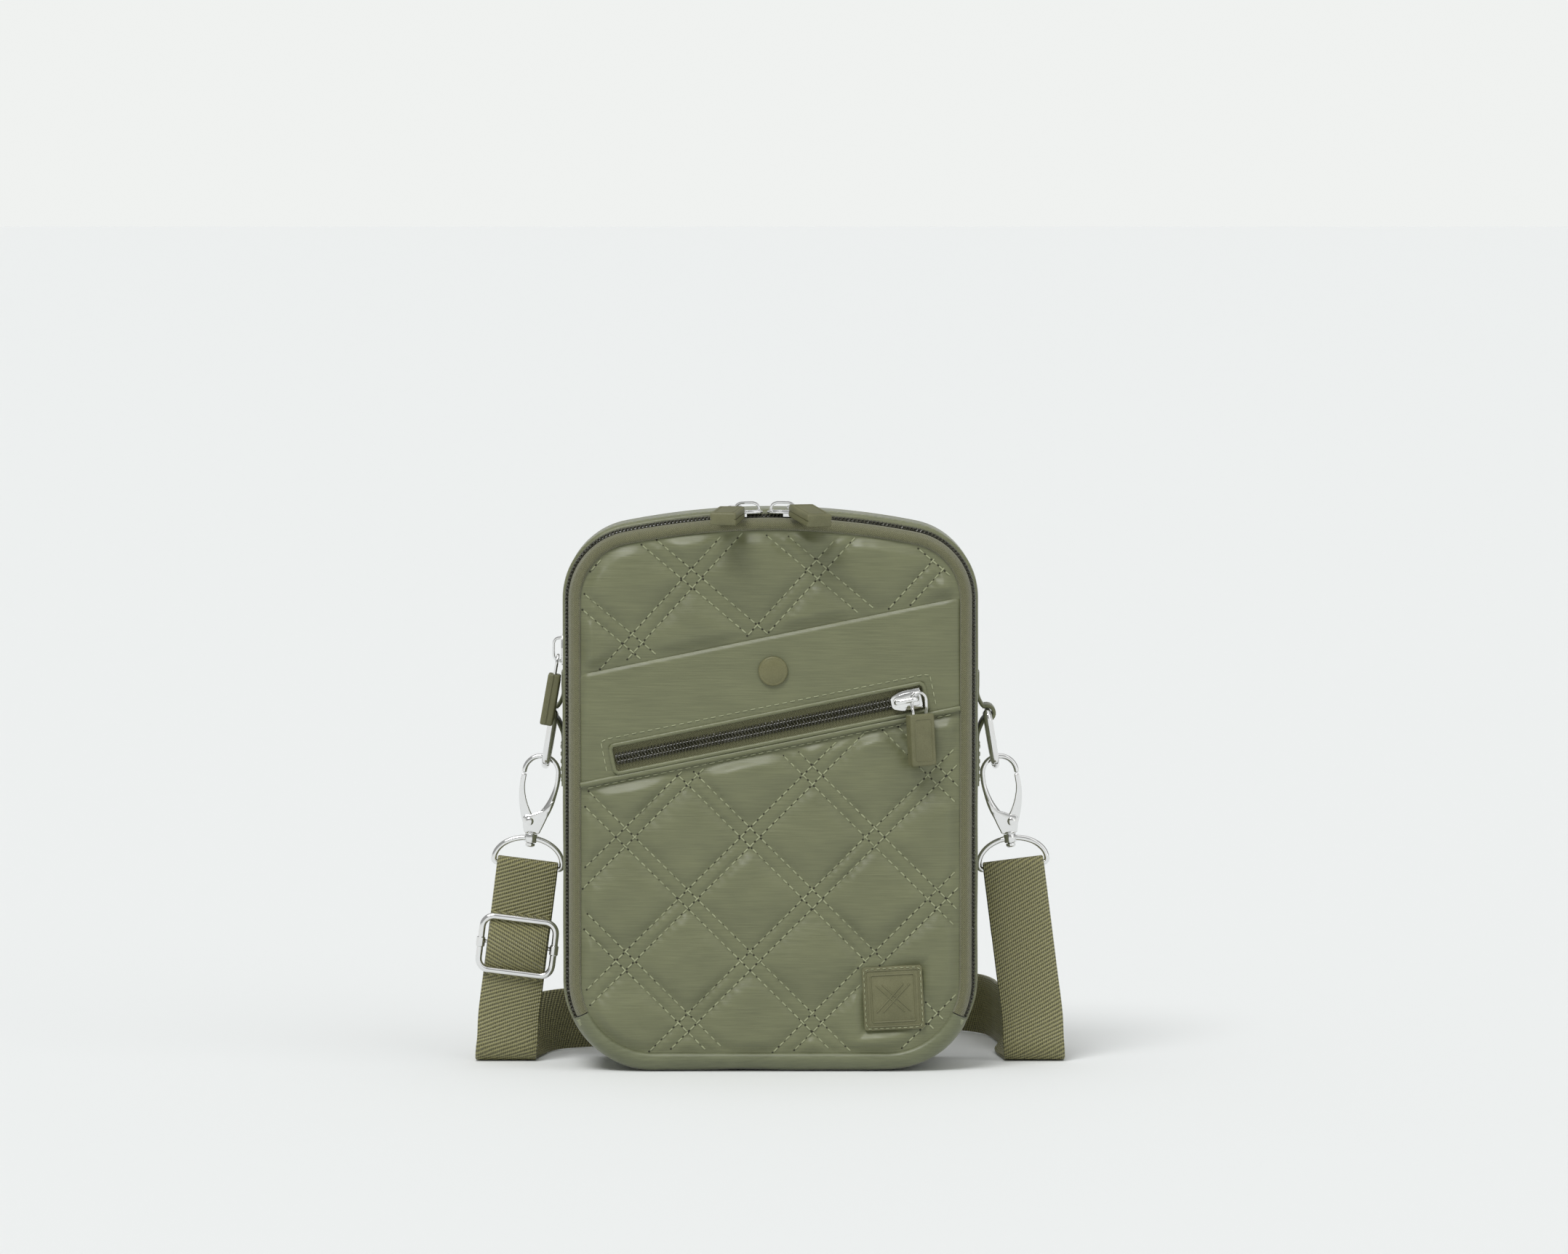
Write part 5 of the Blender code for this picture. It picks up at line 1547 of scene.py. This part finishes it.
@dataclass(frozen=True)
class Sliders:
    """The four sliders and their pulls, each in its place on its zip."""

    post_x: float = 4.55
    post_z: float = 2.35
    beyond: float = 2.3

    def build(self) -> None:
        """Makes all four."""
        self.main(Side.LEFT, -9.1, (10.0, 6.5, 5.5, 0.3, 0.9))
        self.main(Side.RIGHT, 4.9, (22.0, 6.5, 10.0, 0.2, 0.2))
        self.front()
        self.second()

    def main(self, side: Side, x: float, pose: tuple[float, float, float, float, float]) -> None:
        """One of the two sliders on top.

        Args:
            side: which of them.
            x: how far across it stands.
            pose: the splay, the fall of loop and pull in degrees, and the loop's and pull's small shifts.
        """
        away = side.value
        seat = OUTLINE.arch - 2.1 + 1.05 + 0.3
        splay, loop_fall, pull_fall = (math.radians(a) for a in pose[:3])
        place = Matrix.Translation((0, -12.85, OUTLINE.arch_z)) @ Matrix.Rotation(math.asin(x / seat), 4, "Y")
        place = place @ Matrix.Translation((0, 0, seat)) @ Matrix.Rotation(0 if away > 0 else math.pi, 4, "Z")
        Slider().build(f"main_slider_{side.word}", place, f"main_slider_{side.word}", [-away])
        post = place @ Vector((self.post_x, 0, self.post_z))
        lie = Matrix.Translation(post) @ Matrix.Rotation(splay * away, 4, "Z")
        lie = lie @ Matrix.Rotation(loop_fall - math.pi / 2, 4, "X")
        lie = lie @ Matrix.Translation((pose[3] * away, 0, self.beyond))
        drop = Matrix.Translation((0, pose[4], 0)) @ Matrix.Rotation(pull_fall - loop_fall, 4, "X")
        pull, loop = f"main_pull_{side.word}", f"main_puller_loop_{side.word}"
        Pull().build(pull, loop, lie, drop, pull, 7.7, 0.0)

    def front(self) -> None:
        """The pocket's slider, its pull hanging turned to one side."""
        face = -19.5 - 0.3 + 1.2 - 0.2 - 0.3 - 1.1 - 0.3
        x, z = BAND.xz(53.6, 0.0)
        along = Matrix.Rotation(-math.radians(BAND.angle), 4, "Y")
        place = Matrix.Translation((x, face, z)) @ along @ Matrix.Rotation(math.pi / 2, 4, "X")
        Slider().build("front_slider", place, "front_slider")
        post = place @ Vector((self.post_x, 0, self.post_z))
        lean, twist = math.radians(-2), math.radians(24)
        swing = Matrix.Translation(post + Vector((0.3, 0, self.beyond)))
        swing = swing @ Matrix.Rotation(math.radians(-3), 4, "Y") @ Matrix.Rotation(lean, 4, "X")
        drop = Matrix.Rotation(-lean, 4, "X") @ Matrix.Translation((0, -2.1, 0))
        drop = drop @ Matrix.Rotation(twist, 4, "Z")
        Pull().build("front_pull", "front_puller_loop", swing, drop, "front_pull", 7.7, twist)

    def second(self) -> None:
        """The gusset zip's slider on the left side."""
        face = -(OUTLINE.half - 3.0 + 0.6 + 2.1)
        place = Matrix.Translation((face, 1.1, 166.0)) @ Matrix.Rotation(-math.pi / 2, 4, "Y")
        place = place @ Matrix.Rotation(math.pi, 4, "Z")
        Slider().build("second_slider", place, "second_slider")
        apex = place @ Vector((5.0 - 1.8 - 0.3 - 0.6, 0, self.post_z))
        swing = Matrix.Translation(apex) @ Matrix.Rotation(math.radians(10), 4, "Y")
        swing = swing @ Matrix.Rotation(math.pi / 2, 4, "Z")
        Pull().build("second_pull", "second_puller_loop", swing, Matrix.Identity(4), "second_pull", 7.0, 0.0)


# ---- D-rings, hooks and strap rings ----
@dataclass(frozen=True)
class Fittings:
    """On each side: the sewn tab, the D-ring, the snap hook and the ring that holds the strap."""

    hang_y: float = 20.6
    bar_x: float = 86.2
    bar_z: float = 139.8
    eye: tuple[float, float] = (91.4, 115.4)
    lean: float = 7.2
    ring_bar: float = -37.6
    centre: float = 0.9

    def hook_place(self, side: Side) -> Matrix:
        """From the hook's own place, its eye's middle, to the bag's."""
        sign = side.value
        place = Matrix.Translation((sign * self.eye[0], self.hang_y, self.eye[1]))
        place = place @ Matrix.Rotation(-sign * math.radians(self.lean), 4, "Y")
        return place @ Matrix.Scale(sign, 4, (1, 0, 0))

    def build(self) -> None:
        """Makes both sides."""
        for side in Side:
            self.tab(side)
            self.d_ring(side)
            self.hook(side)
            self.gate(side)
            self.strap_ring(side)

    def tab(self, side: Side) -> None:
        """The nylon tab folded round the D-ring's bar, with its box of stitches."""
        sign = side.value
        wall, turn = 82.0 - 0.6 + 0.3 + 0.7, 1.8 + 0.3 + 0.7
        route = [(wall, self.bar_z + 16.5), (wall, self.bar_z + 11.5), (wall, self.bar_z + 7.5)]
        route += [(wall + 1.2, self.bar_z + 4.2)] + bend((self.bar_x, self.bar_z), turn, 118, -116, 16)
        route += [(wall + 0.8, self.bar_z - 6.2), (wall, self.bar_z - 9.5), (wall, self.bar_z - 18)]
        route += [(wall, self.bar_z - 29.0)]
        path = smooth([(sign * x, self.hang_y, z) for x, z in route], 0.9)
        across = np.tile([0.0, 1.0, 0.0], (len(path), 1))
        shape = Shape().ribbon(path, across, 19.0, 1.4, crown=0.12)
        tab = f"d_ring_tab_{side.word}"
        shape.piece(tab + "_cloth", Finish.NYLON, "bag", [tab], 50.0)
        seam = Shape()
        out = np.array([[float(sign), 0.0, 0.0]])
        x = sign * (wall + 0.78)
        corners = [(self.hang_y - 7.3, self.bar_z - 27), (self.hang_y + 7.3, self.bar_z - 27)]
        corners += [(self.hang_y + 7.3, self.bar_z - 12), (self.hang_y - 7.3, self.bar_z - 12)]
        loop = even(np.array([(x, y, z) for y, z in corners + corners[:1]]), 2.9)
        starts, ends = loop[:-1], loop[:-1] + (loop[1:] - loop[:-1]) * 0.72
        seam.stitches(starts, ends, np.repeat(out, len(starts), 0), 0.2)
        seam.piece(tab + "_stitches", Finish.THREAD, "bag")

    def d_ring(self, side: Side) -> None:
        """The chromed D-ring."""
        sign = side.value
        shape = [(-11.8 + 1.6, 0.0), (11.8 - 1.6, 0.0)] + bend((11.8 - 1.6, -1.6), 1.6, 90, 0, 4)[1:]
        shape += [(11.8, -5.0), (11.8, -9.5)] + bend((0, -9.5), 11.8, 0, -180, 26)[1:]
        shape += [(-11.8, -5.0), (-11.8, -1.6)] + bend((-11.8 + 1.6, -1.6), 1.6, 180, 90, 4)[1:-1]
        path = even(np.array([(0.0, y, z) for y, z in shape + shape[:1]]), 1.0, True)
        place = Matrix.Translation((sign * self.bar_x, self.hang_y, self.bar_z))
        place = place @ Matrix.Rotation(-sign * math.radians(9.5), 4, "Y")
        node = f"d_ring_{side.word}"
        Shape().wire(path, 1.7, 20, True, place).piece(node + "_chrome", Finish.CHROME, node, [node])

    def hook(self, side: Side) -> None:
        """The snap hook's body, its rivet and its swivel stud."""
        place = self.hook_place(side)
        eye = bend((0, 0), 6.8, -2, 180, 28)
        limb = eye + [(-6.85, -2.0), (-6.7, -4.5), (-6.2, -7.5), (-5.0, -12.0), (-3.0, -16.5), (-0.4, -20.5)]
        path = smooth([(x, 0, z) for x, z in limb], 0.6)
        run = np.linspace(0, 1, len(path))
        thick = 1.0 + 1.05 * step_between(run, 0.60, 0.97)
        shape = Shape().wire(path, thick, 18, False, place)
        wedge = [(-6.4, -10.0), (-4.6, -12.6), (-2.4, -14.8), (1.8, -16.8), (4.4, -17.5), (5.1, -18.4)]
        wedge += [(4.7, -21.4), (4.0, -24.2), (-2.2, -24.2), (-3.6, -20.4), (-5.4, -15.0)]
        flat = place @ Matrix.Rotation(math.pi / 2, 4, "X")
        for low, high in ((1.7, 2.6), (-2.6, -1.7)):
            shape.solid(wedge, low, high, flat, 0.45, 3)
        web = [(-6.0, -10.6), (-3.6, -14.6), (-0.8, -18.0), (-0.8, -22.4), (4.2, -22.4), (4.0, -24.1)]
        web += [(-2.1, -24.1), (-3.5, -20.3), (-5.3, -15.0)]
        shape.solid(web, -1.9, 1.9, flat, 0.3)
        cup = [(1.3, -23.4), (3.0, -23.6), (3.15, -24.0), (2.9, -24.35), (1.2, -24.4)]
        cup += [(1.1, -25.0), (1.1, -28.2), (1.9, -28.4), (1.95, -29.4), (1.4, -29.9), (0.4, -30.0)]
        stem = place @ Matrix.Translation((self.centre, 0, 0))
        shape.lathe(cup, stem, 32)
        body = f"hook_{side.word}"
        shape.piece(f"hook_body_{side.word}_chrome", Finish.CHROME, body, [f"hook_body_{side.word}"], 42.0)
        pin = place @ Matrix.Translation((2.2, 0, -19.6)) @ Matrix.Rotation(math.pi / 2, 4, "X")
        head = [(0.5, -3.35), (1.2, -3.25), (1.6, -2.95), (1.6, -2.75), (0.9, -2.7)]
        profile = head + [(radius, -height) for radius, height in reversed(head)]
        rivet = Shape().lathe(profile, pin, 28)
        node = f"hook_rivet_{side.word}"
        rivet.piece(node + "_chrome", Finish.CHROME, body, [node])

    def gate(self, side: Side) -> None:
        """The sprung gate lever."""
        place = self.hook_place(side) @ Matrix.Rotation(math.pi / 2, 4, "X")
        outside = [(7.6, -1.0, 0), (8.0, -6.0, 0), (7.4, -12.0, 0), (6.0, -17.6, 0), (4.8, -20.8, 0)]
        inside = [(0.4, -20.6, 0), (0.3, -18.6, 0), (2.2, -16.0, 0), (4.6, -11.0, 0), (5.8, -6.0, 0)]
        outer, inner = smooth(outside, 0.8), smooth(inside + [(5.7, -1.0, 0)], 0.8)
        outline = [(x, y) for x, y, _ in outer] + [(2.2, -21.6)] + [(x, y) for x, y, _ in inner]
        shape = Shape().solid(outline, -1.3, 1.3, place, 0.42, 3)
        node = f"hook_gate_{side.word}"
        shape.piece(node + "_chrome", Finish.CHROME, f"gate_{side.word}", [node], 42.0)

    def strap_ring(self, side: Side) -> None:
        """The swivel ring that the strap goes through."""
        place = self.hook_place(side)
        half, corner, bar, c = 13.7, 1.5, self.ring_bar, self.centre
        top = -24.6 - 1.7
        rise = top - bar - corner
        right = [(c, bar), (c + half * 0.5, bar)] + bend((c + half - corner, bar + corner), corner, -90, 0, 5)
        for angle in np.radians(np.linspace(8, 90, 14)):
            right.append((c + half * math.cos(angle), bar + corner + rise * math.sin(angle)))
        left = [(2 * c - x, z) for x, z in reversed(right[1:-1])]
        loop = np.array([(x, 0.0, z) for x, z in right + left + right[:1]])
        shape = Shape().wire(even(loop, 0.8, True), 1.1, 18, True, place)
        boss = [(1.5, -28.1), (2.3, -28.05), (2.5, -27.8), (2.5, -24.9), (2.3, -24.65), (1.5, -24.6)]
        shape.lathe(boss, place @ Matrix.Translation((c, 0, 0)), 32)
        node = f"strap_ring_{side.word}"
        shape.piece(node + "_chrome", Finish.CHROME, "bag", [node], 42.0)


FITTINGS = Fittings()


# ---- the strap ----
@dataclass(frozen=True)
class Strap:
    """One length of webbing from ring to ring, its spare length coiled on edge behind the bag."""

    width: float = 24.4
    thick: float = 1.5
    gap: float = 2.15
    clear: float = 0.3
    coil_y: float = 103.0
    coil_radius: float = 47.0
    step: float = 2.6

    def end(self, side: Side, rear: float) -> tuple[list[Vector], list[Vector]]:
        """Up behind the bag's ring, over its bar and down in front."""
        place = FITTINGS.hook_place(side)
        c, bar = FITTINGS.centre, FITTINGS.ring_bar
        route = [(c, self.gap, bar - rear), (c, self.gap, bar - rear * 0.6), (c, self.gap, bar - rear * 0.25)]
        route += [(c, y, z) for y, z in bend((0, bar), self.gap, 0, 180, 10)]
        route += [(c, -self.gap, bar - drop) for drop in (8.0, 15.0, 30.0, 45.0, 60.0)]
        points = [place @ Vector(p) for p in route]
        across = (place.to_3x3() @ Vector((side.value, 0, 0))).normalized()
        return points, [across] * len(points)

    def floor(self, side: Side, places: Sequence[tuple[float, ...]]) -> tuple[list[Vector], list[Vector]]:
        """Down to the floor and round to the coil, turning from flat to on edge."""
        sign = side.value
        hanging = (FITTINGS.hook_place(side).to_3x3() @ Vector((sign, 0, 0))).normalized()
        level, upright = Vector((1, 0, 0)), Vector((0, 0, sign))
        points, across = [], []
        for x, y, z, share in places:
            if z < 0:
                way = (level * (1 - share) + upright * share).normalized()
                z = abs(way.z) * self.width / 2 + abs(way.x) * self.thick / 2 + self.clear
            else:
                way = (hanging * (1 - share) + level * share).normalized()
            points.append(Vector((x, y, z)))
            across.append(way)
        return points, across

    def spiral(self) -> list[Vector]:
        """From where the left end meets the coil, in to its middle and out to where the right end leaves."""
        grow, lead = 2.865, 6.0
        last = (-lead + math.sqrt(lead**2 + 4 * (self.coil_radius / grow) ** 2)) / 2
        arm = []
        for theta in np.linspace(last, 0.0, 150):
            radius = grow * math.sqrt(max(theta**2 + lead * theta, 0.0))
            radius += 4.3 * (1 - float(step_between(np.array(last - theta), 0.0, 1.7)))
            angle = math.pi - (last - theta)
            arm.append((radius * math.cos(angle), radius * math.sin(angle)))
        arm_out = [(-x, -y) for x, y in reversed(arm[:-1])]
        z = self.width / 2 + self.clear
        return [Vector((x, self.coil_y + y, z)) for x, y in arm + arm_out]

    def path(self) -> tuple[Array, Array]:
        """The whole centre line, and the direction of the width along it."""
        left_points, left_across = self.end(Side.LEFT, 26.0)
        floor_points, floor_across = self.floor(Side.LEFT, LEFT_FLOOR)
        coil = self.spiral()
        down = Vector((0, 0, -1))
        right_points, right_across = self.end(Side.RIGHT, 27.0)
        back_points, back_across = self.floor(Side.RIGHT, RIGHT_FLOOR)
        points = left_points + floor_points[:-1] + coil + back_points[-2::-1] + right_points[::-1]
        across = left_across + floor_across[:-1] + [down] * len(coil)
        across += [-a for a in back_across[-2::-1]] + [-a for a in right_across[::-1]]
        known = np.array([list(p) + list(a) for p, a in zip(points, across)])
        fine = self.through(known)
        return fine[:, :3], fine[:, 3:] / np.linalg.norm(fine[:, 3:], axis=1)[:, None]

    def through(self, known: Array) -> Array:
        """A smooth curve through the points and directions, evenly spaced along the points."""
        count = len(known)
        fine = []
        for k in range(count - 1):
            a, b, c, d = (known[min(max(k + i, 0), count - 1)] for i in (-1, 0, 1, 2))
            span = np.linalg.norm(c[:3] - b[:3])
            t = np.linspace(0, 1, max(2, int(span / 0.5)), endpoint=False)[:, None]
            lead = (c - a) * span / max(np.linalg.norm(c[:3] - a[:3]), 1e-6)
            tail = (d - b) * span / max(np.linalg.norm(d[:3] - b[:3]), 1e-6)
            h1, h2 = 2 * t**3 - 3 * t**2 + 1, -2 * t**3 + 3 * t**2
            fine.append(b * h1 + c * h2 + lead * (t**3 - 2 * t**2 + t) + tail * (t**3 - t**2))
        fine.append(known[-1:])
        line = np.vstack(fine)
        run = run_along(line[:, :3])
        spots = np.linspace(0, run[-1], int(run[-1] / self.step) + 1)
        bends = np.linspace(22, 42, 36)
        spots = np.sort(np.concatenate([spots, bends, run[-1] - bends]))
        return np.stack([np.interp(spots, run, line[:, k]) for k in range(line.shape[1])], 1)

    def build(self) -> None:
        """Makes the strap, its adjuster and the webbing through that."""
        path, across = self.path()
        shape = Shape().ribbon(path, across, self.width, self.thick)
        ring = np.concatenate(shape.points).reshape(len(path), -1, 3)
        low = np.maximum(0.15 - ring[..., 2].min(1), 0)
        shape.points = [(ring + np.stack([0 * low, 0 * low, low], 1)[:, None]).reshape(-1, 3)]
        path[:, 2] += low
        web = shape.piece("strap_webbing", Finish.WEBBING, "bag",
                          ["strap_left_run", "strap_right_run", "strap_coil"], 60.0)
        on_it = self.adjuster()
        self.seams()

    def adjuster(self) -> list[bpy.types.Object]:
        """The chromed slide on the left of the strap, and the webbing's loop round its bar."""
        place = FITTINGS.hook_place(Side.LEFT)
        down = (115.4 - 46.4) / math.cos(math.radians(FITTINGS.lean))
        y = -(self.gap + self.thick / 2 + 0.3 + 1.3)
        half_x, half_z, corner, c = 14.7, 10.8, 4.5, FITTINGS.centre
        outline = rounded_box(half_x, half_z, corner, 8, (c, -down))
        loop = np.array([(x, y, z) for x, z in outline + outline[:1]])
        frame_wire = Shape().wire(even(loop, 0.9, True), 1.3, 18, True, place)
        made = [frame_wire.piece("adjuster_frame_chrome", Finish.CHROME, "adjuster", ["adjuster_frame"])]
        bar = Shape()
        rail = c + half_x
        line = [(rail, y + 0.4, -down), (rail - 0.1, -2.0, -down), (rail - 0.9, -0.4, -down)]
        line += [(rail - 2.2, 0, -down)]
        line += [(c, 0.0, -down)] + [(2 * c - a, b, e) for a, b, e in reversed(line)]
        bar.wire(smooth(line, 0.8), 0.8, 12, False, place)
        for end in (-1, 1):
            knuckle = np.array([(c + end * half_x, y, -down - 1.7), (c + end * half_x, y, -down + 1.7)])
            bar.wire(even(knuckle, 0.5), 1.75, 18, False, place)
        made.append(bar.piece("adjuster_bar_chrome", Finish.CHROME, "adjuster", ["adjuster_bar"]))
        fold = [(c, y + 2.0, -down + 12.6), (c, y + 1.0, -down + 9.0), (c, y - 0.6, -down + 6.4)]
        fold += [(c, y - 1.5, -down + 3.0), (c, y - 1.7, -down - 0.5), (c, y - 1.4, -down - 4.0)]
        fold += [(c, y - 0.4, -down - 7.0), (c, y + 1.1, -down - 9.4), (c, y + 2.0, -down - 12.6)]
        path = smooth(fold, 0.9)
        across = np.tile([1.0, 0.0, 0.0], (len(path), 1))
        web = Shape().ribbon(path, across, 23.6, 1.3, place)
        made.append(web.piece("adjuster_loop_webbing", Finish.WEBBING, "adjuster", (), 60.0))
        return made

    def seams(self) -> None:
        """Two rows of stitches on each side that close each end of the strap behind its ring."""
        seam = Shape()
        for side, rear in ((Side.LEFT, 26.0), (Side.RIGHT, 27.0)):
            place = FITTINGS.hook_place(side)
            for drop in (rear - 3.0, rear - 6.0):
                x = np.arange(-10.5, 10.0, 2.4) + FITTINGS.centre
                y = np.full(len(x), self.gap + self.thick / 2 + 0.02)
                starts = np.stack([x, y, np.full(len(x), FITTINGS.ring_bar - drop)], 1)
                ends = starts + np.array([1.8, 0, 0])
                out = np.tile(np.array(place.to_3x3() @ Vector((0, 1, 0))), (len(x), 1))
                seam.stitches(moved(starts, place), moved(ends, place), out, 0.2)
        seam.piece("strap_end_stitches", Finish.THREAD, "bag")


LEFT_FLOOR = (
    (-105.0, 18.0, 9.0, 0.3), (-105.6, 18.4, 4.0, 0.8), (-105.8, 20.6, 1.4, 1.0), (-105.8, 25.0, -1, 0.0),
    (-105.0, 32.0, -1, 0.08), (-102.0, 40.0, -1, 0.30), (-96.0, 49.0, -1, 0.60), (-87.0, 59.0, -1, 0.90),
    (-76.0, 68.0, -1, 1.0), (-64.0, 76.0, -1, 1.0), (-55.0, 86.0, -1, 1.0), (-51.5, 100.0, -1, 1.0),
)
RIGHT_FLOOR = (
    (105.0, 18.0, 9.0, 0.3), (105.4, 18.4, 4.0, 0.8), (105.5, 20.6, 1.4, 1.0), (105.3, 25.0, -1, 0.0),
    (104.2, 34.0, -1, 0.08), (102.0, 45.0, -1, 0.28), (98.5, 58.0, -1, 0.58), (95.0, 73.0, -1, 0.90),
    (92.5, 89.0, -1, 1.0), (90.5, 106.0, -1, 1.0), (86.0, 122.0, -1, 1.0), (76.0, 133.0, -1, 1.0),
    (64.0, 134.0, -1, 1.0), (54.5, 124.0, -1, 1.0), (51.5, 107.0, -1, 1.0),
)


# ---- the studio ----
@dataclass(frozen=True)
class Studio:
    """A pale flat floor, soft lights and the camera."""

    camera_at: Point = (5.4, -3220.0, 360.0)
    look_at: Point = (5.4, -19.5, 176.0)
    focal: float = 187.0
    lamps: tuple[tuple[str, float, float, float, float], ...] = (
        ("key", -26.0, 54.0, 26.0, 1.75),
        ("fill", 50.0, 30.0, 50.0, 0.4),
        ("top", 0.0, 85.0, 70.0, 0.62),
    )

    def build(self) -> None:
        """Makes the floor, the lights and the camera."""
        self.floor()
        self.lights()
        self.camera()

    def floor(self) -> None:
        """The floor, running out to the horizon."""
        rows = np.array([[(x, y, 0.0) for x in (-40000.0, 0.0, 40000.0)] for y in (-40000.0, 0.0, 40000.0)])
        mesh = bpy.data.meshes.new("studio_floor")
        shape = Shape().grid(rows)
        mesh.from_pydata((np.concatenate(shape.points) * MM).tolist(), [], shape.faces)
        book = Recipe("studio_paper")
        fine = book.noise(book.place((1.0, 1.0, 1.0)), 900.0, 2.0)
        paper = book.finish(Base_Color=tint(232, 234, 234), Roughness=0.8, Normal=book.relief(fine, 0.00001))
        mesh.materials.append(paper)
        obj = bpy.data.objects.new("studio_floor", mesh)
        bpy.context.scene.collection.objects.link(obj)

    def lights(self) -> None:
        """Soft lights, and a surround that is palest at the horizon."""
        world = bpy.data.worlds.new("studio")
        world.use_nodes = True
        nodes, links = world.node_tree.nodes, world.node_tree.links
        where = nodes.new("ShaderNodeTexCoord")
        parts = nodes.new("ShaderNodeSeparateXYZ")
        ramp = nodes.new("ShaderNodeValToRGB")
        links.new(where.outputs["Generated"], parts.inputs[0])
        links.new(parts.outputs[2], ramp.inputs["Fac"])
        links.new(ramp.outputs["Color"], nodes["Background"].inputs["Color"])
        ramp.color_ramp.elements[0].position = 0.10
        ramp.color_ramp.elements[0].color = (0.870, 0.885, 0.870, 1.0)
        ramp.color_ramp.elements[1].position = 0.24
        ramp.color_ramp.elements[1].color = (0.36, 0.365, 0.36, 1.0)
        bpy.context.scene.world = world
        bpy.context.scene.view_settings.view_transform = "Standard"
        for name, turn, height, spread, power in self.lamps:
            lamp = bpy.data.lights.new(name, "SUN")
            lamp.angle = math.radians(spread)
            lamp.energy = power
            obj = bpy.data.objects.new(name, lamp)
            bpy.context.scene.collection.objects.link(obj)
            obj.location = (0.0, -1.0, 1.0)
            obj.rotation_euler = (math.radians(90 - height), 0.0, math.radians(turn))

    def camera(self) -> None:
        """The camera, low and far in front."""
        lens = bpy.data.cameras.new("camera")
        lens.lens = self.focal
        lens.clip_end = 100.0
        obj = bpy.data.objects.new("camera", lens)
        bpy.context.scene.collection.objects.link(obj)
        place, aim = Vector(self.camera_at) * MM, Vector(self.look_at) * MM
        obj.location = place
        obj.rotation_mode = "QUATERNION"
        obj.rotation_quaternion = (aim - place).to_track_quat("-Z", "Y")
        bpy.context.scene.camera = obj


UPPER = Lattice((-4.9, 173.1), (23.3, 25.6), (26.0, -22.0))
LOWER = Lattice((-8.0, 93.0), (24.6, 24.5), (24.6, -24.5))


def main() -> None:
    """Builds and dresses every sub-assembly in order."""
    logging.basicConfig(level=logging.INFO, format="%(message)s")
    Studio().build()
    Strap().build()
    QuiltedPanel("upper_panel", "upper_quilted_panel", UPPER, True, 11).build()
    QuiltedPanel("lower_panel", "lower_quilted_panel", LOWER, False, 21).build()
    PocketBand().build()
    SnapCap().build()
    PATCH.build()
    MainZip().build()
    FrontZip().build()
    SecondZip().build()
    Body().build()
    Sliders().build()
    FITTINGS.build()


if __name__ == "__main__":
    main()
